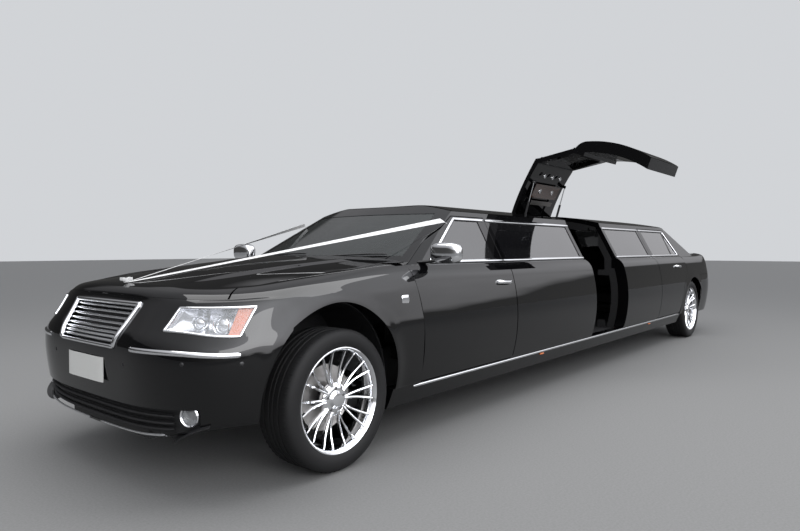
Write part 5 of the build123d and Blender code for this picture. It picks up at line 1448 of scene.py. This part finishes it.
# %% Knot
loops_t = steps(25, 0, 2 * np.pi)
knot_bars = []
for angle in (25, 155, 205, 335):
    c, s = math.cos(math.radians(angle)), math.sin(math.radians(angle))
    reach = 0.030 * (1 - np.cos(loops_t)) / 2
    sway = 0.010 * np.sin(loops_t)
    rise = 0.010 + 0.010 * np.sin(loops_t / 2)
    path = KNOT + np.stack([reach * c - sway * s, reach * s + sway * c, rise], 1)
    knot_bars.append(bar_grid(path, (0, 0, 1), (c, s, 0), 0.008, 0.0012, 8))
middle_path = KNOT + (0, 0, 0.006) + steps(9, -1, 1)[:, None] * (0.012, 0, 0)
knot_bars.append(bar_grid(middle_path, (0, 1, 0), (0, 0, 1), 0.010, 0.008))
bars("ribbon knot", knot_bars, "bonnet", None, ribbon, sides="left")

# %% [markdown]
# Cushions are padded: a rounded block whose faces crown outward, with stitched channels pulled in.
# The same superellipsoid as the mirror's makes the block, and each channel is a dip of the surface.

# %% Seats


def cushion(low, high, channels, axis):
    """A padded block between two corners: a superellipsoid whose channels dip by h exp(-(d / w)^2)."""
    unit, middle, half = superellipsoid(low, high, 0.28, 72)
    unit *= 0.965 + 0.035 * np.cos(unit[..., :1] * 1.4) * np.cos(unit[..., 1:2] * 1.4)
    if channels:
        phase = (unit[..., axis] + 1) / 2 * channels
        dip = np.exp(-((phase - np.round(phase)) * 2 * half[axis] / channels / 0.012) ** 2)
        unit *= 1 - 0.010 / half.min() * dip[..., None]
    return middle + unit * half


def upholster(name, blocks, node):
    """One padded piece of several cushions, in place of the plain block."""
    grids = [cushion(*block) for block in blocks]
    made = bars(name, grids, "body", "leather", leather, sides="left", replaces=(node,))


FLOOR_Z, LAP_Z = 0.325, 0.600
WELL_X = -2.630
seat_blocks = []
for y in (-0.3875, 0.3875):
    seat_blocks += [((B_SEAM + .085, y - .255, .44), (B_SEAM + .575, y + .255, LAP_Z), 4, 1),
                    ((B_SEAM + .12, y - .22, FLOOR_Z), (B_SEAM + .54, y + .22, .45), 0, 1),
                    ((B_SEAM - .045, y - .250, .43), (B_SEAM + .095, y + .250, 1.00), 4, 1),
                    ((B_SEAM - .030, y - .135, 1.015), (B_SEAM + .080, y + .135, 1.178), 0, 1)]
upholster("front seats padded", seat_blocks, "front_seats")
lounge_blocks = [((WELL_X + .01, -.585, .44), (WELL_X + .515, .585, LAP_Z), 6, 1),
                 ((WELL_X + .02, -.57, FLOOR_Z), (WELL_X + .49, .57, .45), 0, 1),
                 ((WELL_X - .115, -.450, .60), (WELL_X + .02, .450, 1.178), 6, 1),
                 ((WELL_X + .53, -.750, .44), (B_SEAM - .605, -.355, LAP_Z), 24, 0),
                 ((WELL_X + .54, -.740, FLOOR_Z), (B_SEAM - .62, -.37, .45), 0, 0)]
upholster("lounge padded", lounge_blocks, "lounge_seat")

# %% [markdown]
# The open door shows its lining: a brown gloss panel, a pale strip and round lamps. All of it is
# placed under the roof of the shut door and turned open together with the door.

# %% Roof-hinged door lining
LINING_LAMP = [(0, 0), (.014, 0), (.020, .002), (.022, .006), (.018, .009), (0, .009)]
WIDE_LAMP = [(0, 0), (.016, 0), (.024, .002), (.026, .006), (.020, .008), (0, .008)]
LINED = {"body": "jet_door", "sides": "left", "turn": opened}


def lining(x, y, below):
    """Points under the roof skin of the shut door: z = roof(y) - below."""
    x, y = np.broadcast_arrays(x, y)
    return np.stack([x, y, roof_height(y) - below], -1)


panel_y = steps(24, 0.275, 0.415)
wood_panel = lining(steps(20, JET_FRONT - 0.13, JET_REAR + 0.13)[:, None], panel_y[None, :], 0.066)
panels("lining panel", [wood_panel[:, ::-1]], slot="cabinet_gloss", paint=wood, thick=0.004, **LINED)
pale = lining(steps(12, JET_FRONT - 0.17, JET_REAR + 0.17)[:, None], steps(6, 0.20, 0.245)[None, :], 0.066)
panels("lining grille", [pale[:, ::-1]], slot="chrome", paint=steel, thick=0.004, **LINED)
lights = [turned_grid(LINING_LAMP, lining(JET_FRONT - back, 0.50, 0.073), (0, 0, 1), 24)
          for back in (.22, .39, .56)]
lights += [turned_grid(WIDE_LAMP, lining(JET_FRONT - back, 0.345, 0.075), (0, 0, 1), 24)
           for back in (.26, .52)]
bars("lining lamps", lights, slot="chrome", paint=chrome, **LINED)
